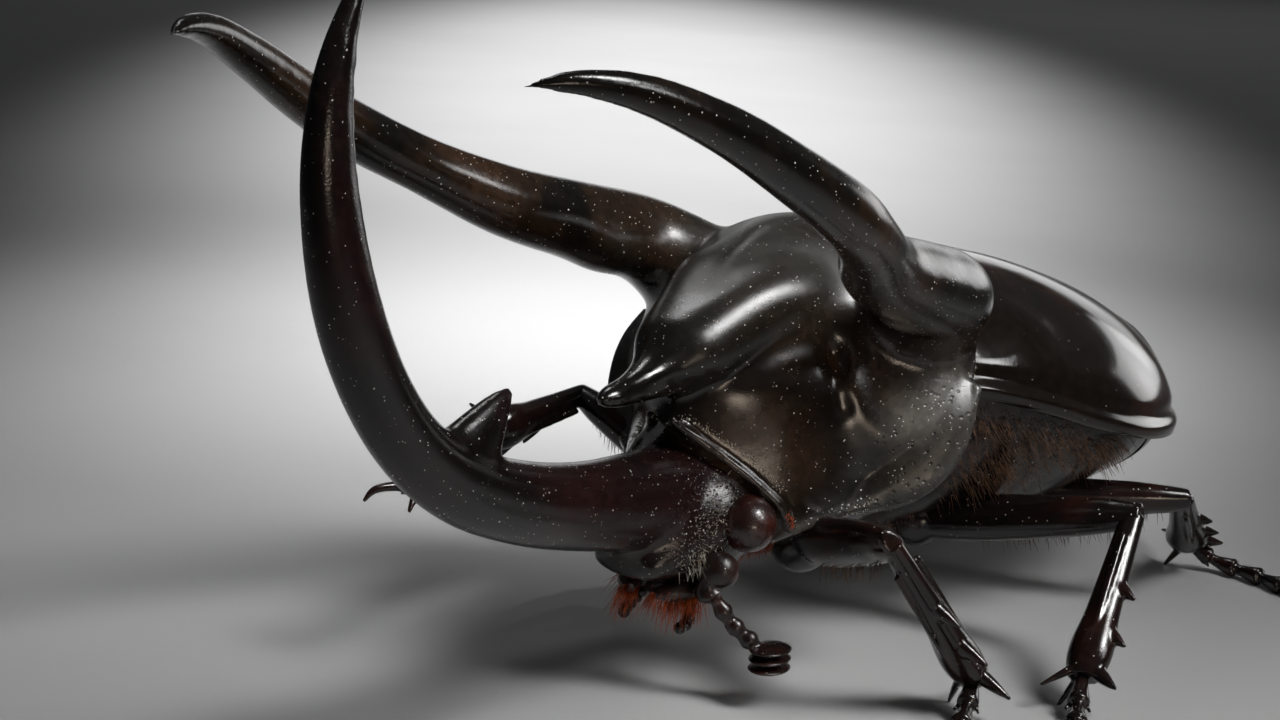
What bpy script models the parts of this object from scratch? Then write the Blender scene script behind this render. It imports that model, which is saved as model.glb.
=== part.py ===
"""Caucasus beetle (Chalcosoma chiron), a full-grown male: a still, life-size model.

Lengths are in millimetres until a mesh is made. The head points along -Y, the
beetle's left is +X, and the feet stand on Z = 0. Shapes are laid out in the
stance frame, whose origin is on the floor under the hind edge of the prothorax,
and are then moved so that the middle of the footprint is the origin.
"""
import math

import bmesh
import bpy
import numpy as np
from mathutils import Matrix, Vector

MM = 0.001
GAP = 0.3  # left between pieces that touch
FOOTPRINT_MIDDLE = (0.2, -8.4)  # x and y in the stance frame
SHARP_ANGLE = math.radians(40)  # edges sharper than this are not shaded smooth

# The two melted skins: size of the melt's cells, rounds of smoothing, triangles kept.
SKIN_CELL = 0.5
SKIN_ROUNDS = 10
PROTHORAX_TRIANGLES = 2500
HEAD_TRIANGLES = 1500

# Rings along each lofted piece, and points round each ring.
RINGS = {
    "prothorax": (30, 48),
    "pronotal_horn": (44, 20),
    "prow": (26, 20),
    "head": (22, 28),
    "head_horn": (60, 22),
    "tooth": (14, 16),
    "elytra": (22, 23),
    "pterothorax": (8, 17),
    "mandible": (6, 8),
    "palp": (6, 6),
    "femur": (7, 8),
    "tibia": (7, 8),
    "thorn": (3, 5),
    "claw": (4, 5),
}
ABDOMEN_SIDES = 17
FEELER_SIDES = 6
TARSUS_SIDES = 8
EYE_DETAIL = 6
KNOB_DETAIL = 5

# One hoop of the prothorax: outermost point (x, y, z), top (y, z), keel (y, z), and how
# full the hoop is above and below (2 is an ellipse, 1 a straight slope).
PROTHORAX_HOOPS = (
    ((13.4, -3.6, 24.6), (0.0, 32.6), (-4.5, 11.0), 2.1, 1.5),
    ((15.6, -5.6, 23.8), (-1.6, 34.4), (-6.5, 9.4), 2.2, 1.5),
    ((16.1, -8.0, 22.0), (-5.5, 35.9), (-9.0, 8.4), 2.0, 1.4),
    ((15.6, -11.0, 19.4), (-10.5, 36.5), (-11.5, 8.0), 1.65, 1.3),
    ((13.4, -13.2, 16.2), (-15.4, 35.6), (-13.5, 8.0), 1.5, 1.3),
    ((10.9, -16.1, 14.9), (-20.0, 33.0), (-16.0, 8.4), 1.38, 1.3),
    ((9.6, -18.4, 14.1), (-24.4, 28.4), (-18.0, 9.0), 1.28, 1.3),
    ((8.6, -20.6, 13.4), (-27.2, 21.4), (-19.6, 10.2), 1.1, 1.4),
)
# Swept pieces: each row is x, y, z, width and height.
PRONOTAL_HORN = (
    (8.8, -6.6, 27.8, 11.8, 10.6),
    (14.2, -10.6, 32.0, 9.2, 7.9),
    (16.0, -17.4, 34.2, 7.6, 6.9),
    (17.7, -26.2, 36.8, 6.1, 5.9),
    (20.6, -33.2, 40.0, 4.8, 4.7),
    (22.1, -39.0, 42.8, 4.6, 4.6),
    (21.8, -45.4, 46.0, 4.1, 4.1),
    (20.4, -52.6, 49.6, 3.4, 3.4),
    (18.0, -59.4, 52.1, 2.5, 2.5),
    (16.2, -63.2, 52.6, 1.7, 1.7),
    (14.6, -66.1, 52.2, 0.6, 0.6),
)
MEDIAN_HORN = (
    (0.0, -9.0, 30.6, 18.0, 10.0),
    (0.0, -16.0, 30.0, 12.0, 8.6),
    (0.0, -22.0, 28.0, 8.0, 6.4),
    (0.0, -27.6, 26.4, 5.2, 4.4),
    (0.0, -32.0, 25.5, 3.5, 3.0),
    (0.0, -35.0, 25.1, 2.3, 2.0),
    (0.0, -36.0, 25.0, 1.2, 1.0),
)
HEAD_CAPSULE = (
    (0.0, -16.5, 15.6, 8.6, 7.6),
    (0.0, -20.0, 15.0, 11.6, 10.4),
    (0.0, -24.0, 13.8, 12.4, 11.0),
    (0.0, -27.5, 12.6, 10.0, 8.0),
    (0.0, -30.0, 11.6, 7.6, 4.6),
    (0.0, -31.6, 11.0, 6.0, 2.0),
)
HEAD_HORN = (
    (0.0, -20.0, 15.0, 9.4, 9.0),
    (0.0, -25.4, 15.4, 8.8, 8.8),
    (0.0, -31.0, 16.2, 7.0, 7.8),
    (0.0, -37.0, 17.1, 6.0, 7.0),
    (0.0, -45.1, 19.1, 5.4, 6.3),
    (0.0, -51.8, 21.8, 4.9, 5.8),
    (0.0, -57.2, 25.6, 4.4, 5.3),
    (0.0, -61.1, 30.4, 4.2, 5.2),
    (0.0, -63.9, 35.9, 4.1, 5.1),
    (0.0, -65.5, 41.3, 3.7, 4.6),
    (0.0, -66.2, 46.5, 3.1, 3.9),
    (0.0, -65.8, 51.6, 2.4, 2.9),
    (0.0, -64.2, 56.0, 1.5, 1.8),
    (0.0, -62.2, 59.4, 0.6, 0.6),
)
HORN_TOOTH = (
    (0.0, -52.2, 22.6, 3.6, 8.4),
    (0.0, -49.9, 25.0, 3.0, 5.0),
    (0.0, -48.0, 26.8, 2.0, 2.6),
    (0.0, -46.5, 27.9, 0.9, 1.0),
)
# Thin plates that part the horns from the shells: middle, way through, reach.
PRONOTAL_HORN_CUT = ((16.3, -19.8, 34.8), (0.46, -0.81, 0.36), 13.0)
MEDIAN_HORN_CUT = ((0.0, -28.6, 26.2), (0.0, -1.0, -0.12), 9.0)
HEAD_HORN_CUT = ((0.0, -32.6, 16.4), (0.0, -1.0, 0.12), 16.0)
# Soft bumps and hollows, on both sides: x, y, z of the middle, reach, height.
PROTHORAX_BUMPS = ((12.5, -16.5, 25.0, 5.0, -1.6),)
ELYTRA_BUMPS = ((15.0, 4.5, 27.0, 3.4, 0.7), (11.5, 35.5, 21.5, 3.6, 0.6))

EYE_CENTRE = (6.2, -23.6, 14.2)
EYE_RADIUS = 2.3
# A feeler from its root to its club: x, y, z and thickness.
ANTENNA_LEFT = (
    (4.6, -25.4, 11.2, 1.4),
    (5.6, -26.4, 10.8, 3.2),
    (5.2, -27.2, 9.9, 1.5),
    (5.2, -27.0, 9.2, 2.4),
    (5.6, -26.6, 8.5, 1.1),
    (6.2, -26.2, 7.5, 1.5),
    (6.5, -25.9, 6.9, 1.1),
    (7.0, -25.6, 6.3, 1.5),
    (7.4, -25.3, 5.8, 1.1),
    (8.0, -25.0, 5.3, 1.6),
    (8.4, -24.8, 4.9, 1.1),
    (8.9, -24.5, 4.5, 1.2),
)
ANTENNA_RIGHT = (
    (-4.6, -25.0, 11.2, 1.4),
    (-5.4, -24.8, 10.2, 3.0),
    (-5.6, -24.2, 9.2, 1.5),
    (-5.8, -23.6, 8.5, 2.3),
    (-6.0, -22.8, 7.9, 1.1),
    (-6.2, -22.0, 7.4, 1.5),
    (-6.4, -21.4, 7.1, 1.1),
    (-6.6, -20.8, 6.8, 1.5),
    (-6.8, -20.2, 6.5, 1.1),
    (-7.0, -19.6, 6.2, 1.6),
    (-7.2, -19.1, 6.0, 1.1),
    (-7.4, -18.6, 5.8, 1.2),
)
CLUB_RADII = (1.6, 2.0, 1.1)
MANDIBLES = (
    (2.0, -23.6, 9.2, 3.0, 2.6),
    (2.4, -25.8, 8.8, 2.8, 2.2),
    (2.0, -27.6, 8.5, 2.0, 1.6),
    (1.1, -28.8, 8.4, 0.8, 0.8),
)
CHIN = ((0.0, -24.0, 8.4), (3.2, 3.0, 1.7))
PALP = (
    (2.0, -24.8, 7.6, 0.9, 0.9),
    (2.6, -25.6, 6.5, 1.0, 1.0),
    (2.9, -26.5, 5.8, 1.1, 1.1),
    (2.6, -27.4, 5.4, 0.9, 0.9),
)

# Elytra, taken together: station y, half width, height of the edge, height of the top.
ELYTRA = (
    (-5.0, 13.4, 22.6, 30.4),
    (-2.0, 15.4, 22.2, 31.0),
    (1.0, 17.1, 21.4, 31.4),
    (5.0, 18.8, 20.2, 31.5),
    (10.0, 20.2, 18.5, 31.4),
    (16.0, 21.0, 16.8, 30.8),
    (23.0, 20.6, 15.4, 29.2),
    (30.0, 18.7, 14.5, 26.9),
    (36.0, 15.4, 14.0, 23.9),
    (41.0, 10.8, 13.5, 20.0),
    (44.4, 6.0, 13.1, 16.6),
    (46.0, 2.0, 12.9, 14.2),
)
ELYTRA_FULLNESS = 2.05
# Underside: station y, half width, height of the top, height of the keel.
PTEROTHORAX = (
    (-8.0, 7.0, 21.0, 10.4),
    (-2.0, 13.8, 22.6, 8.2),
    (4.0, 17.2, 20.8, 7.2),
    (10.0, 19.0, 18.8, 6.9),
    (16.0, 19.6, 17.2, 7.2),
    (20.0, 19.4, 16.4, 7.6),
)
ABDOMEN = (
    (20.3, 19.3, 16.2, 7.7),
    (27.0, 18.2, 15.2, 7.7),
    (34.0, 15.0, 15.0, 8.5),
    (40.0, 10.4, 14.4, 9.9),
    (43.4, 6.0, 13.8, 11.2),
    (45.0, 2.2, 13.6, 12.1),
)
UNDERSIDE_FULLNESS = 1.9
STERNITES = 6
RINGS_A_STERNITE = 2
STERNITE_STEP = 0.3
# The scutellum: half of its outline from the front, and its low, shoulder and top heights.
SCUTELLUM = ((3.4, -4.0), (3.2, 1.0), (1.4, 4.8), (0.0, 5.8))
SCUTELLUM_HEIGHTS = (27.4, 31.3, 31.8)
SCUTELLUM_TOP_SHARE = 0.8

# Legs: hip, knee, ankle, then the line of the foot.
LEGS = {
    "front_left": (
        (5.6, -14.4, 10.6), (18.2, -22.2, 15.0), (22.0, -13.6, 2.7),
        ((23.0, -16.4, 1.3), (24.6, -21.2, 0.8), (26.8, -27.6, 0.8))),
    "front_right": (
        (-5.8, -12.4, 12.0), (-18.6, -12.8, 18.0), (-18.4, -25.4, 16.9),
        ((-18.2, -28.4, 15.4), (-17.9, -31.8, 14.2), (-17.5, -36.2, 14.2))),
    "middle_left": (
        (7.0, 3.0, 9.0), (26.4, 4.2, 13.4), (28.4, -7.2, 2.7),
        ((29.4, -9.8, 1.3), (31.4, -14.2, 0.8), (34.4, -20.0, 0.8))),
    "middle_right": (
        (-7.0, 3.0, 9.0), (-24.6, 8.6, 13.2), (-27.8, 13.2, 2.7),
        ((-29.2, 15.0, 1.3), (-31.4, 18.0, 0.8), (-34.2, 21.6, 0.8))),
    "hind_left": (
        (7.4, 13.0, 9.0), (23.4, 22.0, 10.4), (19.6, 34.4, 2.7),
        ((21.8, 35.4, 1.3), (26.4, 35.0, 0.8), (32.0, 32.6, 0.8))),
    "hind_right": (
        (-7.4, 13.0, 9.0), (-22.0, 23.6, 10.6), (-23.4, 36.4, 2.7),
        ((-25.2, 38.6, 1.3), (-28.2, 42.2, 0.8), (-32.0, 47.2, 0.8))),
}
# Thickness of each leg pair: femur across and deep, tibia at the knee and at the foot.
LEG_SIZES = {
    "front": (3.4, 4.8, 2.2, 3.7),
    "middle": (3.3, 4.4, 2.2, 3.4),
    "hind": (3.7, 4.8, 2.3, 3.7),
}
# Where the teeth of a shin face, if not away from the hip: down and out on the raised leg.
TEETH_WAY = {"front_right": (-0.4, 0.0, -1.0)}
# Along the femur, and its share of the full thickness there; the same for the tibia,
# which also grows from the knee's size to the foot's.
FEMUR_SHAPE = ((0.0, 0.8), (0.3, 1.0), (0.6, 0.92), (0.9, 0.72), (1.04, 0.5))
TIBIA_SHAPE = ((0.0, 0.95), (0.25, 0.95), (0.6, 1.0), (0.92, 1.05), (1.0, 0.8))
TIBIA_FLATNESS = 0.78
HIP_SHARE = 0.55  # of the femur's depth, for the ball in its socket
# Teeth down the outer edge of a tibia: how far along, and length.
TIBIA_TEETH = {
    "front": ((0.45, 2.4), (0.70, 2.9), (0.93, 3.2)),
    "middle": ((0.45, 1.9), (0.72, 2.2), (0.96, 2.4)),
    "hind": ((0.45, 1.9), (0.72, 2.2), (0.96, 2.4)),
}
TOOTH_THICKNESS = 1.5
TOOTH_LEAN = 0.7
SPUR_LENGTH = 3.2
SPUR_THICKNESS = 0.9
SPUR_SPREAD = 0.7
TIP_THICKNESS = 0.3
FOOT_JOINTS = 5
FOOT_WAIST = 1.0
FOOT_SWELL = 1.8
# A claw from its root: how far ahead, how far out, rise and thickness.
CLAW = ((-0.8, 0.3, 0.0, 1.0), (1.2, 1.1, 0.5, 0.8), (2.9, 2.0, 0.2, 0.6), (3.7, 2.2, -0.5, 0.3))

# Finishes: name, colour, roughness.
BLACK_SHELL = ("black_shell", (0.012, 0.010, 0.009), 0.14)
BROWN_SHELL = ("brown_shell", (0.030, 0.016, 0.010), 0.18)
LEG_SHELL = ("leg_shell", (0.020, 0.010, 0.008), 0.22)
EYE_LENS = ("eye_lens", (0.045, 0.020, 0.012), 0.08)
MOUTH_PARTS = ("mouth_parts", (0.10, 0.030, 0.012), 0.45)
FINISHES = {
    "eye": EYE_LENS,
    "antenna": MOUTH_PARTS,
    "palp": MOUTH_PARTS,
    "mouthparts": MOUTH_PARTS,
    "femur": LEG_SHELL,
    "tibia": LEG_SHELL,
    "tarsus": LEG_SHELL,
    "elytron": BROWN_SHELL,
}


def new_collection(name):
    made = bpy.data.collections.new(name)
    bpy.context.scene.collection.children.link(made)
    return made


def object_of(name, bm):
    """An object that holds the bmesh, linked to the workshop collection."""
    mesh = bpy.data.meshes.new(name)
    bmesh.ops.recalc_face_normals(bm, faces=bm.faces)
    bm.to_mesh(mesh)
    bm.free()
    thing = bpy.data.objects.new(name, mesh)
    WORKSHOP.objects.link(thing)
    return thing


def copied(thing, name):
    copy = thing.copy()
    copy.data = thing.data.copy()
    copy.name = name
    WORKSHOP.objects.link(copy)
    return copy


def mirrored(thing, name):
    """A copy of the object on the beetle's other side."""
    bm = bmesh.new()
    bm.from_mesh(thing.data)
    bmesh.ops.transform(bm, matrix=Matrix.Scale(-1, 4, (1, 0, 0)), verts=bm.verts)
    return object_of(name, bm)


def through(rows, count):
    """Evenly spaced samples of a smooth curve through rows that start with x, y, z."""
    rows = np.array(rows, float)
    steps = np.linalg.norm(np.diff(rows[:, :3], axis=0), axis=1)
    knots = np.concatenate([[0.0], np.cumsum(steps)])
    slopes = np.gradient(rows, knots, axis=0)
    at = np.linspace(0.0, knots[-1], count)
    left = np.clip(np.searchsorted(knots, at, side="right") - 1, 0, len(knots) - 2)
    span = (knots[left + 1] - knots[left])[:, None]
    s = (at - knots[left])[:, None] / span
    return (
        (2 * s**3 - 3 * s**2 + 1) * rows[left]
        + (s**3 - 2 * s**2 + s) * span * slopes[left]
        + (3 * s**2 - 2 * s**3) * rows[left + 1]
        + (s**3 - s**2) * span * slopes[left + 1]
    )


def unit(vectors):
    return vectors / np.linalg.norm(vectors, axis=-1, keepdims=True)


def powered(value, exponent):
    return np.sign(value) * np.abs(value) ** exponent


def loft(name, rings):
    """A closed solid skinned over rings that hold equally many points."""
    bm = bmesh.new()
    loops = [[bm.verts.new(Vector(point) * MM) for point in ring] for ring in rings]
    for a, b in zip(loops, loops[1:]):
        for k in range(len(a)):
            bm.faces.new((a[k - 1], a[k], b[k], b[k - 1]))
    bm.faces.new(loops[0])
    bm.faces.new(loops[-1])
    return object_of(name, bm)


def tube(name, line, sides, across):
    """A loft along rows of x, y, z, width and height, with an elliptical section."""
    line = np.array(line, float)
    centres, sizes = line[:, :3], np.maximum(line[:, 3:], TIP_THICKNESS)
    along = unit(np.gradient(centres, axis=0))
    across = np.array(across, float)
    side = unit(across - (along @ across)[:, None] * along)
    rise = np.cross(side, along)
    turn = np.linspace(0.0, 2 * math.pi, sides, endpoint=False)
    wide = side[:, None] * (sizes[:, :1] / 2 * np.cos(turn))[..., None]
    high = rise[:, None] * (sizes[:, 1:] / 2 * np.sin(turn))[..., None]
    return loft(name, centres[:, None] + wide + high)


def sweep(name, rows, kind, across=(1.0, 0.0, 0.0)):
    """A tube along a smooth curve through the rows, meshed as its kind is."""
    rings, sides = RINGS[kind]
    return tube(name, through(rows, rings), sides, across)


def sized(points, sizes):
    """Rows for a sweep, from points and a width and height for each."""
    return [(*point, *size) for point, size in zip(points, sizes)]


def ball(name, centre, radii, detail):
    bm = bmesh.new()
    bmesh.ops.create_uvsphere(bm, u_segments=2 * detail, v_segments=detail, radius=1.0)
    place = Matrix.Translation(Vector(centre) * MM)
    stretch = Matrix.Diagonal((*(radius * MM for radius in radii), 1.0))
    bmesh.ops.transform(bm, matrix=place @ stretch, verts=bm.verts)
    return object_of(name, bm)


def slab(point, way_out, reach, depth):
    """A box whose near face is centred on the point, square to the way out."""
    bm = bmesh.new()
    bmesh.ops.create_cube(bm, size=1.0)
    turn = Vector(way_out).to_track_quat("Z", "Y").to_matrix().to_4x4()
    middle = Matrix.Translation((0, 0, depth / 2 * MM))
    stretch = Matrix.Diagonal((reach * MM, reach * MM, depth * MM, 1.0))
    place = Matrix.Translation(Vector(point) * MM) @ turn @ middle @ stretch
    bmesh.ops.transform(bm, matrix=place, verts=bm.verts)
    return object_of("slab", bm)


def bake(thing):
    """Applies the object's modifiers to its mesh."""
    bpy.context.view_layer.update()
    seen = thing.evaluated_get(bpy.context.evaluated_depsgraph_get())
    mesh = bpy.data.meshes.new_from_object(seen)
    thing.modifiers.clear()
    thing.data = mesh
    return thing


def loose_pieces(bm):
    """The connected sets of the mesh's vertices."""
    left, pieces = set(bm.verts), []
    while left:
        stack = [left.pop()]
        piece = set(stack)
        while stack:
            for edge in stack.pop().link_edges:
                for vert in edge.verts:
                    if vert in left:
                        left.discard(vert)
                        piece.add(vert)
                        stack.append(vert)
        pieces.append(piece)
    return pieces


def keep_pieces(thing, wanted):
    """Drops the loose pieces of the mesh that the test does not want."""
    bm = bmesh.new()
    bm.from_mesh(thing.data)
    for piece in loose_pieces(bm):
        if not wanted(piece):
            bmesh.ops.delete(bm, geom=list(piece), context="VERTS")
    bm.to_mesh(thing.data)
    bm.free()
    return thing


def keep_largest(thing):
    """Drops every loose piece of the mesh but the one with the most points."""
    bm = bmesh.new()
    bm.from_mesh(thing.data)
    most = max(len(piece) for piece in loose_pieces(bm))
    bm.free()
    return keep_pieces(thing, lambda piece: len(piece) == most)


def keep_side(thing, middle, way):
    """Drops the loose pieces whose centre is not on that side of the middle."""
    def is_beyond(piece):
        centre = sum((vert.co for vert in piece), Vector()) / len(piece)
        return (centre - middle * MM).dot(way) > 0
    return keep_pieces(thing, is_beyond)


def boolean(thing, others, operation, solver="EXACT"):
    """One Boolean of the object with a collection of closed meshes, applied; the others go."""
    group = new_collection("operands")
    for other in others:
        group.objects.link(other)
    cut = thing.modifiers.new("cut", "BOOLEAN")
    cut.operation = operation
    cut.operand_type = "COLLECTION"
    cut.collection = group
    cut.solver = solver
    bake(thing)
    for other in list(group.objects):
        bpy.data.objects.remove(other, do_unlink=True)
    bpy.data.collections.remove(group)
    return thing


def grown(thing):
    """A copy swollen by the gap along its normals."""
    copy = copied(thing, "grown")
    swell = copy.modifiers.new("swell", "DISPLACE")
    swell.strength = GAP * MM
    swell.mid_level = 0.0
    return bake(copy)


def clear_of(thing, *neighbours):
    """Cuts the object back from its neighbours by the gap.

    The swollen copies cross one another, which the exact solver leaves open.
    """
    boolean(thing, [grown(neighbour) for neighbour in neighbours], "DIFFERENCE", "MANIFOLD")
    return keep_largest(thing)


def part_off(shell, name, cut, far_side=False):
    """Cuts through the shell with a thin plate; what lies beyond it becomes its own piece."""
    middle, way, reach = Vector(cut[0]), Vector(cut[1]), cut[2]
    if far_side:
        middle.x, way.x = -middle.x, -way.x
    boolean(shell, [slab(middle, way, reach, GAP)], "DIFFERENCE")
    horn = copied(shell, name)
    keep_side(shell, middle, -way)
    return keep_side(horn, middle, way)


def melted(name, pieces, triangles):
    """The pieces joined into one skin with soft fillets, thinned to about that many triangles."""
    skin = boolean(pieces[0], pieces[1:], "UNION")
    skin.name = name
    melt = skin.modifiers.new("melt", "REMESH")
    melt.mode = "VOXEL"
    melt.voxel_size = SKIN_CELL * MM
    soften = skin.modifiers.new("soften", "SMOOTH")
    soften.iterations = SKIN_ROUNDS
    bake(skin)
    thin = skin.modifiers.new("thin", "DECIMATE")
    thin.ratio = triangles / (2 * len(skin.data.polygons))
    return keep_largest(bake(skin))


def swell(thing, bumps):
    """Raises or sinks soft round areas on both sides."""
    for vert in thing.data.vertices:
        rise = 0.0
        for x, y, z, reach, height in bumps:
            for side in (1, -1):
                away = (vert.co / MM - Vector((x * side, y, z))).length / reach
                rise += height * math.exp(-away * away)
        vert.co += vert.normal * rise * MM
    return thing


def hoop_rings(hoops, count, sides):
    """Rings round the prothorax, each from its outermost point, top, keel and fullness."""
    rows = [(*side, *top, *keel, *full) for side, top, keel, *full in hoops]
    turn = np.linspace(0.0, 2 * math.pi, sides, endpoint=False)
    rings = []
    for x, y, z, top_y, top_z, keel_y, keel_z, above, below in through(rows, count):
        full = np.where(np.sin(turn) > 0, above, below)
        wide = x * powered(np.cos(turn), 2 / full)
        rise = powered(np.sin(turn), 2 / full)
        up = np.maximum(rise, 0.0)
        down = np.maximum(-rise, 0.0)
        ring_y = y + up * (top_y - y) + down * (keel_y - y)
        ring_z = z + up * (top_z - z) + down * (keel_z - z)
        rings.append(np.stack([wide, ring_y, ring_z], axis=1))
    return rings


def arched_rings(stations, count, sides, fullness):
    """Half hoops with a flat base: station y, half width, base height, crown height."""
    rows = [(0.0, y, 0.0, half, base, crown) for y, half, base, crown in stations]
    turn = np.linspace(0.0, math.pi, sides)
    rings = []
    for _, y, _, half, base, crown in through(rows, count):
        wide = half * powered(np.cos(turn), 2 / fullness)
        high = base + np.abs(np.sin(turn)) ** (2 / fullness) * (crown - base)
        rings.append(np.stack([wide, np.full(sides, y), high], axis=1))
    return rings


def prothorax_and_horns():
    """The prothorax with its three horns, melted together and then parted."""
    horn = sweep("horn", PRONOTAL_HORN, "pronotal_horn", across=(0.8, 0.5, 0.0))
    pieces = [
        loft("shell", hoop_rings(PROTHORAX_HOOPS, *RINGS["prothorax"])),
        mirrored(horn, "horn"),
        horn,
        sweep("prow", MEDIAN_HORN, "prow"),
    ]
    shell = swell(melted("prothorax", pieces, PROTHORAX_TRIANGLES), PROTHORAX_BUMPS)
    return [
        shell,
        part_off(shell, "pronotal_horn_left", PRONOTAL_HORN_CUT),
        part_off(shell, "pronotal_horn_right", PRONOTAL_HORN_CUT, far_side=True),
        part_off(shell, "pronotal_horn_median", MEDIAN_HORN_CUT),
    ]


def head_and_horn():
    """The head with its toothed horn, melted together and then parted."""
    pieces = [
        sweep("capsule", HEAD_CAPSULE, "head"),
        sweep("horn", HEAD_HORN, "head_horn"),
        sweep("tooth", HORN_TOOTH, "tooth"),
    ]
    shell = melted("head", pieces, HEAD_TRIANGLES)
    return [shell, part_off(shell, "head_horn", HEAD_HORN_CUT)]


def eyes():
    left = ball("eye_left", EYE_CENTRE, (EYE_RADIUS,) * 3, EYE_DETAIL)
    return [left, mirrored(left, "eye_right")]


def antenna(name, beads):
    """A feeler: swollen joints in a row, and a flattened club."""
    line = [(x, y, z, size, size) for x, y, z, size in beads]
    stalk = tube(name, line, FEELER_SIDES, (1.0, 0.0, 0.0))
    end = Vector(beads[-1][:3])
    way = (end - Vector(beads[-3][:3])).normalized()
    club = ball("club", end + way * CLUB_RADII[0] / 2, CLUB_RADII, KNOB_DETAIL)
    return boolean(stalk, [club], "UNION")


def mouth():
    """The chin with a mandible on each side of it, and the two palps."""
    jaw = sweep("mandible", MANDIBLES, "mandible")
    chin = ball("mouthparts", *CHIN, KNOB_DETAIL)
    boolean(chin, [mirrored(jaw, "mandible"), jaw], "UNION")
    palp = sweep("palp_left", PALP, "palp")
    palps = [palp, mirrored(palp, "palp_right")]
    return [clear_of(chin, *palps), *palps]


def elytra():
    """The two wing cases: one arched dome, parted along the seam."""
    dome = loft("elytron_left", arched_rings(ELYTRA, *RINGS["elytra"], ELYTRA_FULLNESS))
    left = swell(dome, ELYTRA_BUMPS)
    right = copied(left, "elytron_right")
    front, back = ELYTRA[0][0], ELYTRA[-1][0]
    length = back - front
    middle = Vector((GAP / 2, (front + back) / 2, ELYTRA[0][2]))
    boolean(left, [slab(middle, (-1, 0, 0), 2 * length, length)], "DIFFERENCE")
    middle.x = -middle.x
    boolean(right, [slab(middle, (1, 0, 0), 2 * length, length)], "DIFFERENCE")
    return [left, right]


def scutellum():
    """A small pointed shield between the bases of the elytra."""
    outline = list(SCUTELLUM) + [(-x, y) for x, y in SCUTELLUM[-2::-1]]
    low, shoulder, top = SCUTELLUM_HEIGHTS
    steps = ((1.0, low), (1.0, shoulder), (SCUTELLUM_TOP_SHARE, top))
    return loft("scutellum", [[(x * share, y, z) for x, y in outline] for share, z in steps])


def abdomen():
    """The abdomen, with a small step down at the end of each belly plate."""
    count = RINGS_A_STERNITE * STERNITES + 1
    rings = arched_rings(ABDOMEN, count, ABDOMEN_SIDES, UNDERSIDE_FULLNESS)
    for k, ring in enumerate(rings):
        ring[:, 2] += STERNITE_STEP * (k % RINGS_A_STERNITE)
    return loft("abdomen", rings)


def thorn(start, way, length, thickness):
    """A short pointed cone; its root is sunk in whatever it stands on."""
    way = Vector(way).normalized()
    points = [start - way * thickness * 0.6, start + way * length * 0.45, start + way * length]
    sizes = [(thickness,) * 2, (thickness * 0.7,) * 2, (TIP_THICKNESS,) * 2]
    return sweep("thorn", sized(points, sizes), "thorn", across=way.orthogonal())


def femur(name, hip, knee, flat):
    """A thigh, deepest near the hip, with the ball of its hip joint."""
    across, deep = LEG_SIZES[name.split("_")[0]][:2]
    points = [hip.lerp(knee, along) for along, _ in FEMUR_SHAPE]
    sizes = [(across * share, deep * share) for _, share in FEMUR_SHAPE]
    thigh = sweep(f"femur_{name}", sized(points, sizes), "femur", across=flat)
    return boolean(thigh, [ball("hip", hip, (deep * HIP_SHARE,) * 3, KNOB_DETAIL)], "UNION")


def tibia(name, knee, ankle, flat, outward):
    """A shin that widens to the foot, with teeth down its outer edge and two spurs."""
    pair = name.split("_")[0]
    thin, thick = LEG_SIZES[pair][2:]
    shin = (ankle - knee).normalized()
    points = [knee.lerp(ankle, along) for along, _ in TIBIA_SHAPE]
    depths = [(thin + (thick - thin) * along) * share for along, share in TIBIA_SHAPE]
    sizes = [(depth * TIBIA_FLATNESS, depth) for depth in depths]
    bone = sweep(f"tibia_{name}", sized(points, sizes), "tibia", across=flat)
    thorns = []
    for along, length in TIBIA_TEETH[pair]:
        edge = (thin + (thick - thin) * along) / 2 - TOOTH_THICKNESS / 3
        root = knee.lerp(ankle, along) + outward * edge
        thorns.append(thorn(root, outward + shin * TOOTH_LEAN, length, TOOTH_THICKNESS))
    for side in (1, -1):
        root = knee.lerp(ankle, TIBIA_SHAPE[-1][0]) - outward * thick / 5 + flat * side * SPUR_SPREAD
        way = shin * 0.75 - outward * 0.55 + flat * side * SPUR_SPREAD / 2
        thorns.append(thorn(root - shin * SPUR_THICKNESS / 2, way, SPUR_LENGTH, SPUR_THICKNESS))
    return boolean(bone, thorns, "UNION")


def tarsus(name, ankle, foot):
    """Five joints in a row, each wider at its end, and two hooked claws."""
    line = through([ankle, *foot], 2 * FOOT_JOINTS + 1)
    sizes = [(FOOT_WAIST,) * 2] + [(FOOT_SWELL,) * 2, (FOOT_WAIST,) * 2] * FOOT_JOINTS
    heading = Vector(line[-1] - line[-3]).normalized()
    out = heading.cross(Vector((0, 0, 1))).normalized()
    toes = tube(f"tarsus_{name}", sized(line, sizes), TARSUS_SIDES, out)
    claws = []
    for side in (1, -1):
        points = [Vector(line[-1]) + heading * ahead + out * side * apart + Vector((0, 0, rise))
                  for ahead, apart, rise, _ in CLAW]
        sizes = [(size,) * 2 for *_, size in CLAW]
        claws.append(sweep("claw", sized(points, sizes), "claw", across=(0, 0, 1)))
    return boolean(toes, claws, "UNION")


def leg(name, hip, knee, ankle, foot):
    """Femur, tibia and tarsus of one leg, each a piece of its own."""
    hip, knee, ankle = Vector(hip), Vector(knee), Vector(ankle)
    shin_way = (ankle - knee).normalized()
    teeth_way = Vector(TEETH_WAY.get(name, knee - hip))
    outward = (teeth_way - teeth_way.project(shin_way)).normalized()
    flat = outward.cross(shin_way)
    thigh = femur(name, hip, knee, flat)
    shin = clear_of(tibia(name, knee, ankle, flat, outward), thigh)
    toes = clear_of(tarsus(name, ankle, foot), shin)
    return [thigh, stand_on_floor(shin), stand_on_floor(toes)]


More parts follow.
